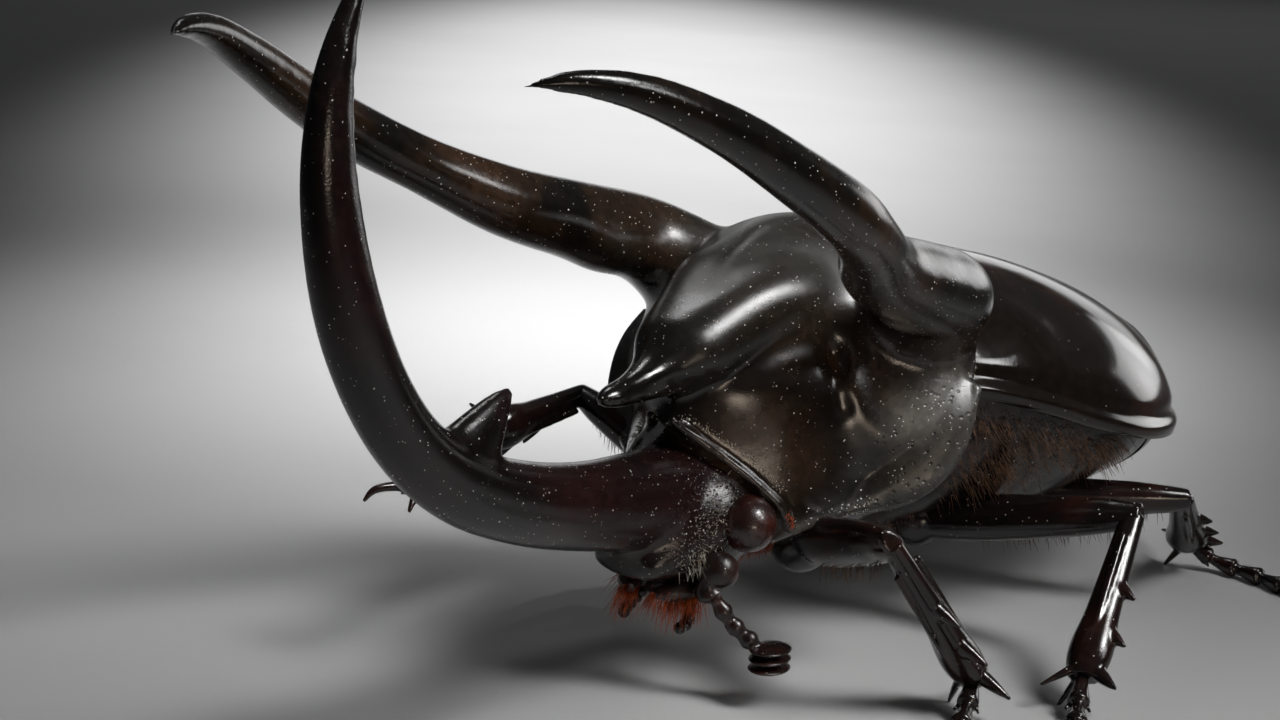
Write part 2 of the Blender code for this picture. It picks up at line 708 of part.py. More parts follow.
def stand_on_floor(thing):
    """Trims what would sink below the floor, which leaves small flats to stand on."""
    points = [vert.co / MM for vert in thing.data.vertices]
    if min(point.z for point in points) < 0:
        middle = sum(points, Vector()) / len(points)
        reach = 2 * max((point - middle).length for point in points)
        middle.z = 0
        boolean(thing, [slab(middle, (0, 0, -1), 2 * reach, reach)], "DIFFERENCE")
        keep_largest(thing)
    return thing


def smooth(thing):
    """Shades the object smooth, with its edges kept sharp."""
    thing.data.shade_smooth()
    thing.data.set_sharp_from_angle(angle=SHARP_ANGLE)


def finish_of(name, colour, roughness):
    """The named material, made at its first use."""
    found = bpy.data.materials.get(name)
    if found:
        return found
    made = bpy.data.materials.new(name)
    made.use_nodes = True
    shader = made.node_tree.nodes["Principled BSDF"]
    shader.inputs["Base Color"].default_value = (*colour, 1.0)
    shader.inputs["Roughness"].default_value = roughness
    shader.inputs["Metallic"].default_value = 0.0
    made.diffuse_color = (*colour, 1.0)
    return made


def build():
    """Every piece of the beetle, cut clear of its neighbours, in the stance frame."""
    prothorax, *pronotal_horns = prothorax_and_horns()
    head, head_horn = head_and_horn()
    small = eyes() + mouth()
    feelers = [antenna("antenna_left", ANTENNA_LEFT), antenna("antenna_right", ANTENNA_RIGHT)]
    small += [clear_of(feeler, *small) for feeler in feelers]
    legs = {name: leg(name, *line) for name, line in LEGS.items()}
    thighs = {name: pieces[0] for name, pieces in legs.items()}
    clear_of(head, *small)
    clear_of(prothorax, head, *small[:2], thighs["front_left"], thighs["front_right"])

    cases = elytra()
    shield = clear_of(scutellum(), prothorax)
    for case in cases:
        clear_of(case, prothorax, shield)
    thorax = loft("pterothorax", arched_rings(PTEROTHORAX, *RINGS["pterothorax"], UNDERSIDE_FULLNESS))
    belly = clear_of(abdomen(), *cases, thighs["hind_left"], thighs["hind_right"])
    hind_thighs = [thighs[name] for name in thighs if not name.startswith("front")]
    clear_of(thorax, prothorax, *cases, *hind_thighs)
    return [
        prothorax, *pronotal_horns, head, head_horn, *small, *cases, shield, thorax, belly,
        *(piece for pieces in legs.values() for piece in pieces),
    ]


def main():
    middle = Vector((*FOOTPRINT_MIDDLE, 0.0)) * MM
    for thing in build():
        finish = FINISHES.get(thing.name.split("_")[0], BLACK_SHELL)
        thing.data.materials.clear()
        thing.data.materials.append(finish_of(*finish))
        thing.data.transform(Matrix.Translation(-middle))
        smooth(thing)
        BEETLE.objects.link(thing)
        WORKSHOP.objects.unlink(thing)


for leftover in list(bpy.data.objects):
    bpy.data.objects.remove(leftover, do_unlink=True)
WORKSHOP = new_collection("workshop")
BEETLE = new_collection("caucasus_beetle")
main()
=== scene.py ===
"""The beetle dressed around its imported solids: skins, hairs, finishes, floor, light and camera.

Shapes are laid out in millimetres in the stance frame of the solids: the head points
along -Y, the beetle's left is +X, the feet stand on Z = 0. settle() then moves each
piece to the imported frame, in metres.
"""
import math

import bmesh
import bpy
import numpy as np
from mathutils import Matrix, Vector
from mathutils.bvhtree import BVHTree


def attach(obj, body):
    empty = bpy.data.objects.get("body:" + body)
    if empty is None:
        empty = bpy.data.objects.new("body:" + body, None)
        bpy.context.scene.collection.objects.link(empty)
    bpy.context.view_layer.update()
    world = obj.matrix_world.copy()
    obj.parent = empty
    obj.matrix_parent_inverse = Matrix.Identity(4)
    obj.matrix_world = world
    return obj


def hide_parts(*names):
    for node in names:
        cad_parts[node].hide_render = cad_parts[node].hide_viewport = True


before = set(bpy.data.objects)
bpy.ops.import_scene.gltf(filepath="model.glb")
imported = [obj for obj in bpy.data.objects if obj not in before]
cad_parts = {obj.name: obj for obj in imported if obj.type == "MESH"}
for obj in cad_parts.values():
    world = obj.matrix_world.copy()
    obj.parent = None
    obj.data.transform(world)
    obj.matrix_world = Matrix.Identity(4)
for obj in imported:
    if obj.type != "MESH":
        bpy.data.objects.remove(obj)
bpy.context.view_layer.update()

MM = 0.001
GAP = 0.3
FOOTPRINT_MIDDLE = (0.2, -8.4)  # x and y in the stance frame
TIP_THICKNESS = 0.3
BENDS = 5  # short straight steps for each point of a line that a mark follows
BOTH_SIDES = (1, -1)
AS_DRAWN = (1,)

# One hoop of the prothorax: outermost point (x, y, z), top (y, z), keel (y, z), and how
# full the hoop is above and below.
PROTHORAX_HOOPS = (
    ((13.4, -3.6, 24.6), (0.0, 32.6), (-4.5, 11.0), 2.1, 1.5),
    ((15.6, -5.6, 23.8), (-1.6, 34.4), (-6.5, 9.4), 2.2, 1.5),
    ((16.1, -8.0, 22.0), (-5.5, 35.9), (-9.0, 8.4), 2.0, 1.4),
    ((15.6, -11.0, 19.4), (-10.5, 36.5), (-11.5, 8.0), 1.65, 1.3),
    ((13.4, -13.2, 16.2), (-15.4, 35.6), (-13.5, 8.0), 1.5, 1.3),
    ((10.9, -16.1, 14.9), (-20.0, 33.0), (-16.0, 8.4), 1.38, 1.3),
    ((9.6, -18.4, 14.1), (-24.4, 28.4), (-18.0, 9.0), 1.28, 1.3),
    ((8.6, -20.6, 13.4), (-27.2, 21.4), (-19.6, 10.2), 1.1, 1.4),
)
# Swept pieces: each row is x, y, z, width and height.
PRONOTAL_HORN = (
    (8.8, -6.6, 27.8, 11.8, 10.6), (14.2, -10.6, 32.0, 9.2, 7.9), (16.0, -17.4, 34.2, 7.6, 6.9),
    (17.7, -26.2, 36.8, 6.1, 5.9), (20.6, -33.2, 40.0, 4.8, 4.7), (22.1, -39.0, 42.8, 4.6, 4.6),
    (21.8, -45.4, 46.0, 4.1, 4.1), (20.4, -52.6, 49.6, 3.4, 3.4), (18.0, -59.4, 52.1, 2.5, 2.5),
    (16.2, -63.2, 52.6, 1.7, 1.7), (14.6, -66.1, 52.2, 0.6, 0.6),
)
MEDIAN_HORN = (
    (0.0, -9.0, 30.6, 18.0, 10.0), (0.0, -16.0, 30.0, 12.0, 8.6), (0.0, -22.0, 28.0, 8.0, 6.4),
    (0.0, -27.6, 26.2, 4.6, 3.8), (0.0, -32.0, 25.3, 3.0, 2.5), (0.0, -35.0, 25.1, 2.1, 1.7),
    (0.0, -36.0, 25.0, 1.2, 1.0),
)
HEAD_CAPSULE = (
    (0.0, -16.5, 15.6, 8.6, 7.6), (0.0, -20.0, 15.0, 11.6, 10.4), (0.0, -24.0, 13.8, 12.4, 11.0),
    (0.0, -27.5, 12.6, 10.0, 8.0), (0.0, -30.0, 11.6, 7.6, 4.6), (0.0, -31.6, 11.0, 6.0, 2.0),
)
HEAD_HORN = (
    (0.0, -20.0, 15.0, 9.4, 9.0), (0.0, -25.4, 15.4, 8.8, 8.8), (0.0, -31.0, 16.2, 7.0, 7.8),
    (0.0, -37.0, 17.1, 6.0, 7.0), (0.0, -45.1, 19.1, 5.4, 6.3), (0.0, -51.8, 21.8, 4.9, 5.8),
    (0.0, -57.2, 25.6, 4.4, 5.3), (0.0, -61.1, 30.4, 4.2, 5.2), (0.0, -63.9, 35.9, 4.1, 5.1),
    (0.0, -65.5, 41.3, 3.7, 4.6), (0.0, -66.2, 46.5, 3.1, 3.9), (0.0, -65.8, 51.6, 2.4, 2.9),
    (0.0, -64.2, 56.0, 1.5, 1.8), (0.0, -62.2, 59.4, 0.6, 0.6),
)
HORN_TOOTH = (
    (0.0, -52.2, 22.6, 3.6, 8.4), (0.0, -49.9, 25.0, 3.0, 5.0), (0.0, -48.0, 26.8, 2.0, 2.6),
    (0.0, -46.5, 27.9, 0.9, 1.0),
)

# Marks pressed into the pronotum on both sides: the line, reach and height.
CREST = (
    (2.3, -26.0, 28.6), (2.8, -23.4, 30.0), (3.8, -19.8, 31.2),
    (5.8, -16.8, 31.6), (8.8, -16.4, 31.4), (11.4, -16.8, 30.2), (13.4, -17.0, 28.4),
)
UNDER_CREST = (
    (2.4, -25.4, 25.2), (4.0, -22.2, 26.2), (5.2, -19.2, 27.6), (7.2, -17.2, 28.2),
    (10.2, -16.4, 27.0), (12.6, -15.8, 25.6),
)
FLANK_FILL = ((3.8, -23.0, 25.4), (5.4, -20.4, 25.6), (6.8, -18.4, 25.0))
FLANK_GROOVE = ((8.5, -16.2, 28.0), (8.2, -15.7, 26.0), (8.3, -15.7, 24.5), (9.0, -15.6, 22.8))
FLANK_FOLD = ((10.4, -16.4, 26.8), (10.0, -15.6, 24.4), (10.8, -14.6, 22.0), (12.4, -13.6, 20.4))
LOBE = ((15.9, -10.4, 22.0), (15.2, -11.6, 20.8), (14.2, -12.8, 19.6))
ROOT_UNDERSIDE = ((12.8, -16.4, 28.6), (14.6, -14.8, 27.4), (16.0, -12.8, 26.6))
ROOT_SHOULDER = ((10.3, -18.4, 32.2), (9.4, -17.4, 32.6))
ROOT_WEB = ((9.4, -17.0, 33.0), (11.6, -19.0, 32.6))
HIND_HOLLOW = ((15.3, -10.4, 19.6), (13.4, -12.9, 18.0), (11.6, -14.6, 17.2))
PROW_GROOVE = ((0.9, -33.0, 25.3), (1.9, -29.0, 25.6), (2.4, -26.2, 25.4))
PRONOTUM_MARKS = (
    (CREST, 2.7, 1.0),
    (UNDER_CREST, 1.2, -0.25),
    (FLANK_FILL, 4.2, 0.8),
    (FLANK_GROOVE, 0.8, -0.9),
    (FLANK_FOLD, 1.2, 0.3),
    (ROOT_UNDERSIDE, 2.2, -0.6),
    (ROOT_SHOULDER, 1.5, 0.45),
    (ROOT_WEB, 1.8, 0.4),
    (HIND_HOLLOW, 1.5, -0.6),
    (PROW_GROOVE, 0.6, -0.35),
)
# Raised rims of the pronotum: front margin, side margin with its flange, hind collar.
FRONT_RIM = (
    (0.9, -27.6, 22.4), (2.3, -25.8, 20.8), (4.4, -24.2, 19.0), (6.4, -22.4, 16.9),
    (8.0, -20.9, 14.6), (8.3, -20.4, 13.2),
)
FRONT_RIDGE = ((1.1, -26.3, 22.6), (3.3, -24.6, 21.2), (5.8, -22.7, 19.0), (7.6, -21.2, 16.8))
SIDE_RIM = (
    (8.3, -20.4, 13.4), (9.4, -18.4, 13.9), (10.9, -16.2, 14.8), (13.0, -13.6, 15.6),
    (14.9, -12.0, 16.9), (16.2, -10.2, 18.6), (16.7, -9.0, 20.6), (16.8, -8.0, 22.6),
    (16.6, -6.8, 24.6),
)
FLANGE = (
    (9.6, -17.2, 14.6, 0.8, 0.9), (11.4, -14.6, 15.4, 1.6, 2.4), (13.4, -12.2, 17.0, 2.4, 4.2),
    (14.8, -10.2, 19.4, 2.8, 4.8), (15.2, -8.6, 22.2, 3.0, 4.4), (14.8, -6.8, 24.6, 2.6, 3.6),
)
COLLAR_LINES = ((3, 0.4, -0.22), (6, 0.4, -0.28))  # which of the hind rings, reach, depth

HORN_MIDDLE = (-44.0, 44.0)  # y and z of the middle of the head horn's curve
HORN_BUMPS_AT = (0.62, 0.9, 11)  # where along the horn they start and end, and how many
HORN_BUMP = (0.7, 0.28)  # reach and height
HORN_SAMPLES = 200
HORN_EDGE = 0.48  # the inner edge's place, as a share of the horn's depth

EYE_CENTRE = (6.2, -23.6, 14.2)
EYE_RADIUS = 2.3
ANTENNA_LEFT = (
    (4.6, -25.4, 11.2, 1.4), (5.6, -26.4, 10.8, 3.2), (5.2, -27.2, 9.9, 1.5), (5.2, -27.0, 9.2, 2.4),
    (5.6, -26.6, 8.5, 1.1), (6.2, -26.2, 7.5, 1.5), (6.5, -25.9, 6.9, 1.1), (7.0, -25.6, 6.3, 1.5),
    (7.4, -25.3, 5.8, 1.1), (8.0, -25.0, 5.3, 1.6), (8.4, -24.8, 4.9, 1.1), (8.9, -24.5, 4.5, 1.2),
)
ANTENNA_RIGHT = (
    (-4.6, -25.0, 11.2, 1.4), (-5.4, -24.8, 10.2, 3.0), (-5.6, -24.2, 9.2, 1.5), (-5.8, -23.6, 8.5, 2.3),
    (-6.0, -22.8, 7.9, 1.1), (-6.2, -22.0, 7.4, 1.5), (-6.4, -21.4, 7.1, 1.1), (-6.6, -20.8, 6.8, 1.5),
    (-6.8, -20.2, 6.5, 1.1), (-7.0, -19.6, 6.2, 1.6), (-7.2, -19.1, 6.0, 1.1), (-7.4, -18.6, 5.8, 1.2),
)
CLUB_RADII = (1.6, 2.0, 1.1)
CLUB_LEAVES = 3
MANDIBLES = (
    (2.0, -23.6, 9.2, 3.0, 2.6), (2.4, -25.8, 8.8, 2.8, 2.2), (2.0, -27.6, 8.5, 2.0, 1.6),
    (1.1, -28.8, 8.4, 0.8, 0.8),
)
CHIN = ((0.0, -24.0, 8.4), (3.2, 3.0, 1.7))
LIP = ((0.0, -29.4, 10.2), (2.6, 1.6, 0.7))
PALP = (
    (2.0, -24.8, 7.6, 0.9, 0.9), (2.6, -25.6, 6.5, 1.0, 1.0), (2.9, -26.5, 5.8, 1.1, 1.1),
    (2.6, -27.4, 5.4, 0.9, 0.9),
)

# Elytra, taken together: station y, half width, height of the edge, height of the top.
ELYTRA = (
    (-5.0, 13.4, 22.6, 30.4), (-2.0, 15.4, 22.2, 31.0), (1.0, 17.1, 21.4, 31.4), (5.0, 18.8, 20.2, 31.5),
    (10.0, 20.2, 18.5, 31.4), (16.0, 21.0, 16.8, 30.8), (23.0, 20.6, 15.4, 29.2), (30.0, 18.7, 14.5, 26.9),
    (36.0, 15.4, 14.0, 23.9), (41.0, 10.8, 13.5, 20.0), (44.4, 6.0, 13.1, 16.6), (46.0, 2.0, 12.9, 14.2),
)
ELYTRA_FULLNESS = 2.05
ELYTRA_MARKS = (
    (((15.0, 4.5, 27.0),), 3.4, 0.7),
    (((11.5, 35.5, 21.5),), 3.6, 0.6),
)
PTEROTHORAX = (
    (-8.0, 7.0, 21.0, 10.4), (-2.0, 13.8, 22.6, 8.2), (4.0, 17.2, 20.8, 7.2), (10.0, 19.0, 18.8, 6.9),
    (16.0, 19.6, 17.2, 7.2), (20.0, 19.4, 16.4, 7.6),
)
ABDOMEN = (
    (20.3, 19.3, 16.2, 7.7), (27.0, 18.2, 15.2, 7.7), (34.0, 15.0, 15.0, 8.5), (40.0, 10.4, 14.4, 9.9),
    (43.4, 6.0, 13.8, 11.2), (45.0, 2.2, 13.6, 12.1),
)
UNDERSIDE_FULLNESS = 1.9
BREAST_PLATES = (
    (((13.6, -1.0, 15.0), (18.2, 8.0, 13.0), (18.6, 15.0, 12.0)), 0.6, -0.3),
    (((16.0, 3.0, 19.0), (15.4, 5.0, 15.0), (11.0, 6.0, 10.0)), 0.5, -0.35),
    (((18.6, 11.0, 17.0), (17.4, 12.4, 12.0), (12.0, 12.0, 8.6)), 0.5, -0.3),
)
STERNITES = 6
SCUTELLUM = ((3.4, -4.0), (3.2, 1.0), (1.4, 4.8), (0.0, 5.8))
SCUTELLUM_HEIGHTS = (27.4, 31.3, 31.8)

# Legs: hip, knee, ankle, then the line of the foot.
LEGS = {
    "front_left": (
        (5.6, -14.4, 10.6), (18.2, -22.2, 15.0), (22.0, -13.6, 2.7),
        ((23.0, -16.4, 1.3), (24.6, -21.2, 0.8), (26.8, -27.6, 0.8))),
    "front_right": (
        (-5.8, -12.4, 12.0), (-18.6, -12.8, 18.0), (-18.4, -25.4, 16.9),
        ((-18.2, -28.4, 15.4), (-17.9, -31.8, 14.2), (-17.5, -36.2, 14.2))),
    "middle_left": (
        (7.0, 3.0, 9.0), (26.4, 4.2, 13.4), (28.4, -7.2, 2.7),
        ((29.4, -9.8, 1.3), (31.4, -14.2, 0.8), (34.4, -20.0, 0.8))),
    "middle_right": (
        (-7.0, 3.0, 9.0), (-24.6, 8.6, 13.2), (-27.8, 13.2, 2.7),
        ((-29.2, 15.0, 1.3), (-31.4, 18.0, 0.8), (-34.2, 21.6, 0.8))),
    "hind_left": (
        (7.4, 13.0, 9.0), (23.4, 22.0, 10.4), (19.6, 34.4, 2.7),
        ((21.8, 35.4, 1.3), (26.4, 35.0, 0.8), (32.0, 32.6, 0.8))),
    "hind_right": (
        (-7.4, 13.0, 9.0), (-22.0, 23.6, 10.6), (-23.4, 36.4, 2.7),
        ((-25.2, 38.6, 1.3), (-28.2, 42.2, 0.8), (-32.0, 47.2, 0.8))),
}
# Thickness of each leg pair: femur across and deep, tibia at the knee and at the foot.
LEG_SIZES = {
    "front": (3.4, 4.8, 2.2, 3.7),
    "middle": (3.3, 4.4, 2.2, 3.4),
    "hind": (3.7, 4.8, 2.3, 3.7),
}
TEETH_WAY = {"front_right": (-0.4, 0.0, -1.0)}
FEMUR_SHAPE = ((0.0, 0.8), (0.3, 1.0), (0.6, 0.92), (0.9, 0.72), (1.04, 0.5))
TIBIA_SHAPE = ((0.0, 0.95), (0.25, 0.95), (0.6, 1.0), (0.92, 1.05), (1.0, 0.8))
TIBIA_FLATNESS = 0.78
HIP_SHARE = 0.55
SHORT_TEETH = ((0.45, 1.9), (0.72, 2.2), (0.96, 2.4))  # share of the shin's length, and length
LONG_TEETH = ((0.45, 2.4), (0.70, 2.9), (0.93, 3.2))
TIBIA_TEETH = {"front": LONG_TEETH, "middle": SHORT_TEETH, "hind": SHORT_TEETH}
TOOTH_THICKNESS = 1.5
TOOTH_LEAN = 0.7
SPUR_LENGTH = 3.2
SPUR_THICKNESS = 0.9
SPUR_SPREAD = 0.7
FOOT_JOINTS = 5
JOINT_RINGS = 12
FOOT_SPINE = (1.2, 0.5)  # length and thickness
FOOT_WAIST = 1.0
FOOT_SWELL = 1.8
CLAW = ((-0.8, 0.3, 0.0, 1.0), (1.2, 1.1, 0.5, 0.8), (2.9, 2.0, 0.2, 0.6), (3.7, 2.2, -0.5, 0.3))

# Bristles: how finely each is made, how thick, how deep its root, how much their ways vary.
HAIR_RINGS = 4
HAIR_SIDES = 3
HAIR_THICKNESS = 0.085
FLECK_THICKNESS = 0.17
ROOT_DEPTH = 0.12
RUFFLE = 0.28
DROOP = 0.35
DROOP_SPREAD = 0.1
# Their map: the size of a bristle's patch, and what the places round and along the body are measured from.
HAIR_PATCH = 0.003
ROUND_MIDDLE = 18.0
BODY_ENDS = (-70.0, 50.0)
# Patches of bristles: line, spread, count, comb, lift, shortest and longest, both sides.
FACE_PATCHES = (
    (((4.4, -29.4, 11.6), (5.0, -27.6, 14.0), (4.9, -25.6, 16.4)),
     0.9, 170, (0.3, -0.5, 0.3), 1.0, (0.3, 0.9), True),
    (((4.6, -27.6, 11.0), (5.6, -26.6, 11.4)), 0.8, 90, (0.3, -0.6, -0.2), 1.0, (0.4, 1.1), True),
    (((3.0, -20.6, 19.8), (5.0, -20.8, 18.0)), 0.5, 60, (0.0, -0.8, 0.4), 0.8, (0.3, 0.7), True),
)
MOUTH_PATCHES = (
    (((1.4, -28.6, 8.2), (2.8, -26.8, 7.8), (3.2, -24.8, 7.6)),
     0.5, 150, (0.1, -0.5, -1.0), 0.5, (1.0, 2.2), True),
    (((-1.8, -30.6, 10.0), (0.0, -30.9, 10.0), (1.8, -30.6, 10.0)),
     0.3, 110, (0.0, -0.6, -1.0), 0.5, (0.7, 1.5), False),
    (((0.0, -26.0, 7.0), (0.0, -23.0, 6.8)), 1.0, 120, (0.0, -0.2, -1.0), 0.5, (0.8, 1.8), False),
)
CHEEK_PATCHES = (
    (((8.1, -20.8, 15.0), (8.4, -20.3, 13.8)), 0.16, 60, (0.2, -1.0, -0.1), 0.4, (0.3, 0.7), True),
    (((3.0, -19.0, 9.4), (6.0, -19.8, 11.0)), 0.6, 90, (0.1, -0.8, -0.6), 0.6, (0.6, 1.2), True),
)
SIDE_PATCHES = (
    (((12.8, -3.4, 20.6), (16.4, 3.0, 19.0), (18.6, 9.0, 17.0), (19.4, 17.0, 15.0)),
     1.1, 620, (0.3, 0.2, -0.9), 0.8, (0.7, 1.6), True),
    (((13.0, -2.0, 16.0), (16.0, 4.0, 14.0)), 1.8, 320, (0.3, 0.3, -0.9), 0.8, (0.7, 1.5), True),
    (((5.0, 0.0, 8.6), (9.0, 8.0, 8.6), (10.0, 16.0, 8.8)),
     2.0, 300, (0.2, 0.6, -0.5), 0.8, (0.6, 1.3), True),
)
FACE_FLECKS = (
    (((4.2, -28.0, 12.6), (5.2, -26.4, 14.2), (4.6, -24.6, 16.6)),
     1.2, 150, (0.2, -0.3, 0.3), 0.3, (0.15, 0.55), True),
)
RIM_FLECKS = (
    (FRONT_RIDGE, 0.16, 150, (0.3, -0.4, -0.3), 0.4, (0.12, 0.3), True),
    (((9.4, -18.4, 13.9), (10.9, -16.2, 14.8), (12.0, -14.8, 15.2)),
     0.2, 60, (0.3, -0.4, -0.3), 0.4, (0.1, 0.3), True),
    (((15.9, -4.0, 25.4), (16.4, -4.2, 22.6), (15.0, -4.6, 18.5)),
     0.07, 110, (0.4, 0.4, 0.0), 0.4, (0.1, 0.25), True),
)
THIGH_PATCH = (0.25, 70, (0.0, 0.3, -0.9), 0.7, (0.6, 1.4), False)
THIGH_FRINGE_AT = (0.3, 0.6, 0.9)
THIGH_EDGE = (0.0, 0.3, -1.6)


def shown(name, data):
    """An object of the scene, for a mesh, lamp or camera."""
    thing = bpy.data.objects.new(name, data)
    bpy.context.scene.collection.objects.link(thing)
    return thing


def object_of(name, bm):
    """An object that holds the bmesh, its normals outward."""
    mesh = bpy.data.meshes.new(name)
    bmesh.ops.recalc_face_normals(bm, faces=bm.faces)
    bm.to_mesh(mesh)
    bm.free()
    return shown(name, mesh)


def opened(thing):
    """The object's mesh as a bmesh."""
    bm = bmesh.new()
    bm.from_mesh(thing.data)
    return bm


def joined(name, things):
    """One object from several, which go."""
    bm = bmesh.new()
    for thing in things:
        bm.from_mesh(thing.data)
        bpy.data.objects.remove(thing, do_unlink=True)
    return object_of(name, bm)


def mirrored(thing, name):
    """A copy of the object on the beetle's other side."""
    bm = opened(thing)
    bmesh.ops.transform(bm, matrix=Matrix.Scale(-1, 4, (1, 0, 0)), verts=bm.verts)
    return object_of(name, bm)


def through(rows, count):
    """Evenly spaced samples of a smooth curve through rows that start with x, y, z."""
    rows = np.array(rows, float)
    steps = np.linalg.norm(np.diff(rows[:, :3], axis=0), axis=1)
    knots = np.concatenate([[0.0], np.cumsum(steps)])
    slopes = np.gradient(rows, knots, axis=0)
    at = np.linspace(0.0, knots[-1], count)
    left = np.clip(np.searchsorted(knots, at, side="right") - 1, 0, len(knots) - 2)
    span = (knots[left + 1] - knots[left])[:, None]
    s = (at - knots[left])[:, None] / span
    return (
        (2 * s**3 - 3 * s**2 + 1) * rows[left]
        + (s**3 - 2 * s**2 + s) * span * slopes[left]
        + (3 * s**2 - 2 * s**3) * rows[left + 1]
        + (s**3 - s**2) * span * slopes[left + 1]
    )


def unit(ways):
    return ways / np.linalg.norm(ways, axis=-1, keepdims=True)


def circle(count):
    """Evenly spaced angles of a full turn."""
    return np.linspace(0.0, 2 * math.pi, count, endpoint=False)


def powered(value, exponent):
    return np.sign(value) * np.abs(value) ** exponent


def loft(name, rings, closed=(0, -1)):
    """A skin over rings that hold equally many points, with a face across each closed ring."""
    bm = bmesh.new()
    loops = [[bm.verts.new(point) for point in ring] for ring in rings]
    for near, far in zip(loops, loops[1:]):
        for k in range(len(near)):
            bm.faces.new((near[k - 1], near[k], far[k], far[k - 1]))
    for end in closed:
        bm.faces.new(loops[end])
    return object_of(name, bm)


def tube(name, line, sides, across):
    """A loft along rows of x, y, z, width and height, with an elliptical section."""
    line = np.array(line, float)
    centres, sizes = line[:, :3], np.maximum(line[:, 3:], TIP_THICKNESS)
    along = unit(np.gradient(centres, axis=0))
    across = np.array(across, float)
    side = unit(across - (along @ across)[:, None] * along)
    rise = np.cross(side, along)
    turn = circle(sides)
    wide = side[:, None] * (sizes[:, :1] / 2 * np.cos(turn))[..., None]
    high = rise[:, None] * (sizes[:, 1:] / 2 * np.sin(turn))[..., None]
    return loft(name, centres[:, None] + wide + high)


def sweep(name, rows, rings, sides, across=(1.0, 0.0, 0.0)):
    """A tube along a smooth curve through the rows."""
    return tube(name, through(rows, rings), sides, across)


def sized(points, sizes):
    """Rows for a sweep, from points and a width and height for each."""
    return [(*point, *size) for point, size in zip(points, sizes)]


def bead_line(name, points, thickness, rings=60, sides=8):
    """A thin round bead laid along a line."""
    return sweep(name, [(*point, thickness, thickness) for point in points], rings, sides, (0.3, 0.2, 1.0))


def ball(name, centre, radii, detail):
    bm = bmesh.new()
    bmesh.ops.create_uvsphere(bm, u_segments=2 * detail, v_segments=detail, radius=1.0)
    stretch = Matrix.Diagonal((*radii, 1.0))
    bmesh.ops.transform(bm, matrix=Matrix.Translation(centre) @ stretch, verts=bm.verts)
    return object_of(name, bm)


def bake(thing):
    """Applies the object's modifiers to its mesh."""
    bpy.context.view_layer.update()
    seen = thing.evaluated_get(bpy.context.evaluated_depsgraph_get())
    mesh = bpy.data.meshes.new_from_object(seen)
    thing.modifiers.clear()
    thing.data = mesh
    return thing


def keep_largest(thing):
    """Drops every loose piece of the mesh but the one with the most points."""
    bm = opened(thing)
    left, pieces = set(bm.verts), []
    while left:
        piece, front = set(), {left.pop()}
        while front:
            piece |= front
            front = {vert for point in front for edge in point.link_edges for vert in edge.verts} - piece
        left -= piece
        pieces.append(piece)
    spare = set(bm.verts) - max(pieces, key=len)
    bmesh.ops.delete(bm, geom=list(spare), context="VERTS")
    bm.to_mesh(thing.data)
    bm.free()
    return thing


def melt(name, things, cell, rounds):
    """Closed meshes melted into one skin with soft fillets."""
    skin = joined(name, things)
    remesh = skin.modifiers.new("melt", "REMESH")
    remesh.mode = "VOXEL"
    remesh.voxel_size = cell
    return keep_largest(soften(skin, rounds))


def soften(thing, rounds):
    thing.modifiers.new("soften", "SMOOTH").iterations = rounds
    return bake(thing)


def vectors(elements, key):
    """One vector for each element of a mesh, as rows."""
    values = np.empty(len(elements) * 3, np.float32)
    elements.foreach_get(key, values)
    return values.reshape(-1, 3)


def places(thing):
    return vectors(thing.data.vertices, "co")


def nearness(points, line, reach):
    """1 on the line, fading smoothly to 0 away from it."""
    trace = np.array(line, np.float32)
    if len(line) > 1:
        trace = through(line, BENDS * len(line)).astype(np.float32)
    away = ((points - trace[0]) ** 2).sum(axis=1)
    for start, end in zip(trace, trace[1:]):
        step = end - start
        along = np.clip((points - start) @ step / max(step @ step, 1e-9), 0.0, 1.0)
        away = np.minimum(away, ((points - start - along[:, None] * step) ** 2).sum(axis=1))
    return np.exp(-away / reach**2)


def move_points(thing, points):
    thing.data.vertices.foreach_set("co", points.astype(np.float32).ravel())
    thing.data.update()
    return thing


def felt(points, marks, sides=BOTH_SIDES):
    """How strongly each mark is felt at the points: line, reach, strength."""
    for line, reach, strength in marks:
        for side in sides:
            yield strength * nearness(points * (side, 1, 1), line, reach)


def press(thing, marks, sides=BOTH_SIDES):
    """Raises or sinks soft lines and spots along the normals."""
    points, ways = places(thing), vectors(thing.data.vertex_normals, "vector")
    rise = np.zeros(len(points), np.float32)
    for lift in felt(points, marks, sides):
        rise += lift
    return move_points(thing, points + ways * rise[:, None])


def paint(thing, fields):
    """Values from 0 to 1 over the mesh, for its finish."""
    points = places(thing)
    for name, marks in fields.items():
        value = np.zeros(len(points), np.float32)
        for strength in felt(points, marks):
            value = np.maximum(value, strength)
        layer = thing.data.attributes.new(name, "FLOAT", "POINT")
        layer.data.foreach_set("value", value.astype(np.float32))


def hoop_rings(hoops, count, sides):
    """Rings round the prothorax, each from its outermost point, top, keel and fullness."""
    rows = [(*side, *top, *keel, *full) for side, top, keel, *full in hoops]
    turn = circle(sides)
    rings = []
    for x, y, z, top_y, top_z, keel_y, keel_z, above, below in through(rows, count):
        full = np.where(np.sin(turn) > 0, above, below)
        wide = x * powered(np.cos(turn), 2 / full)
        rise = powered(np.sin(turn), 2 / full)
        up = np.maximum(rise, 0.0)
        down = np.maximum(-rise, 0.0)
        ring_y = y + up * (top_y - y) + down * (keel_y - y)
        ring_z = z + up * (top_z - z) + down * (keel_z - z)
        rings.append(np.stack([wide, ring_y, ring_z], axis=1))
    return rings


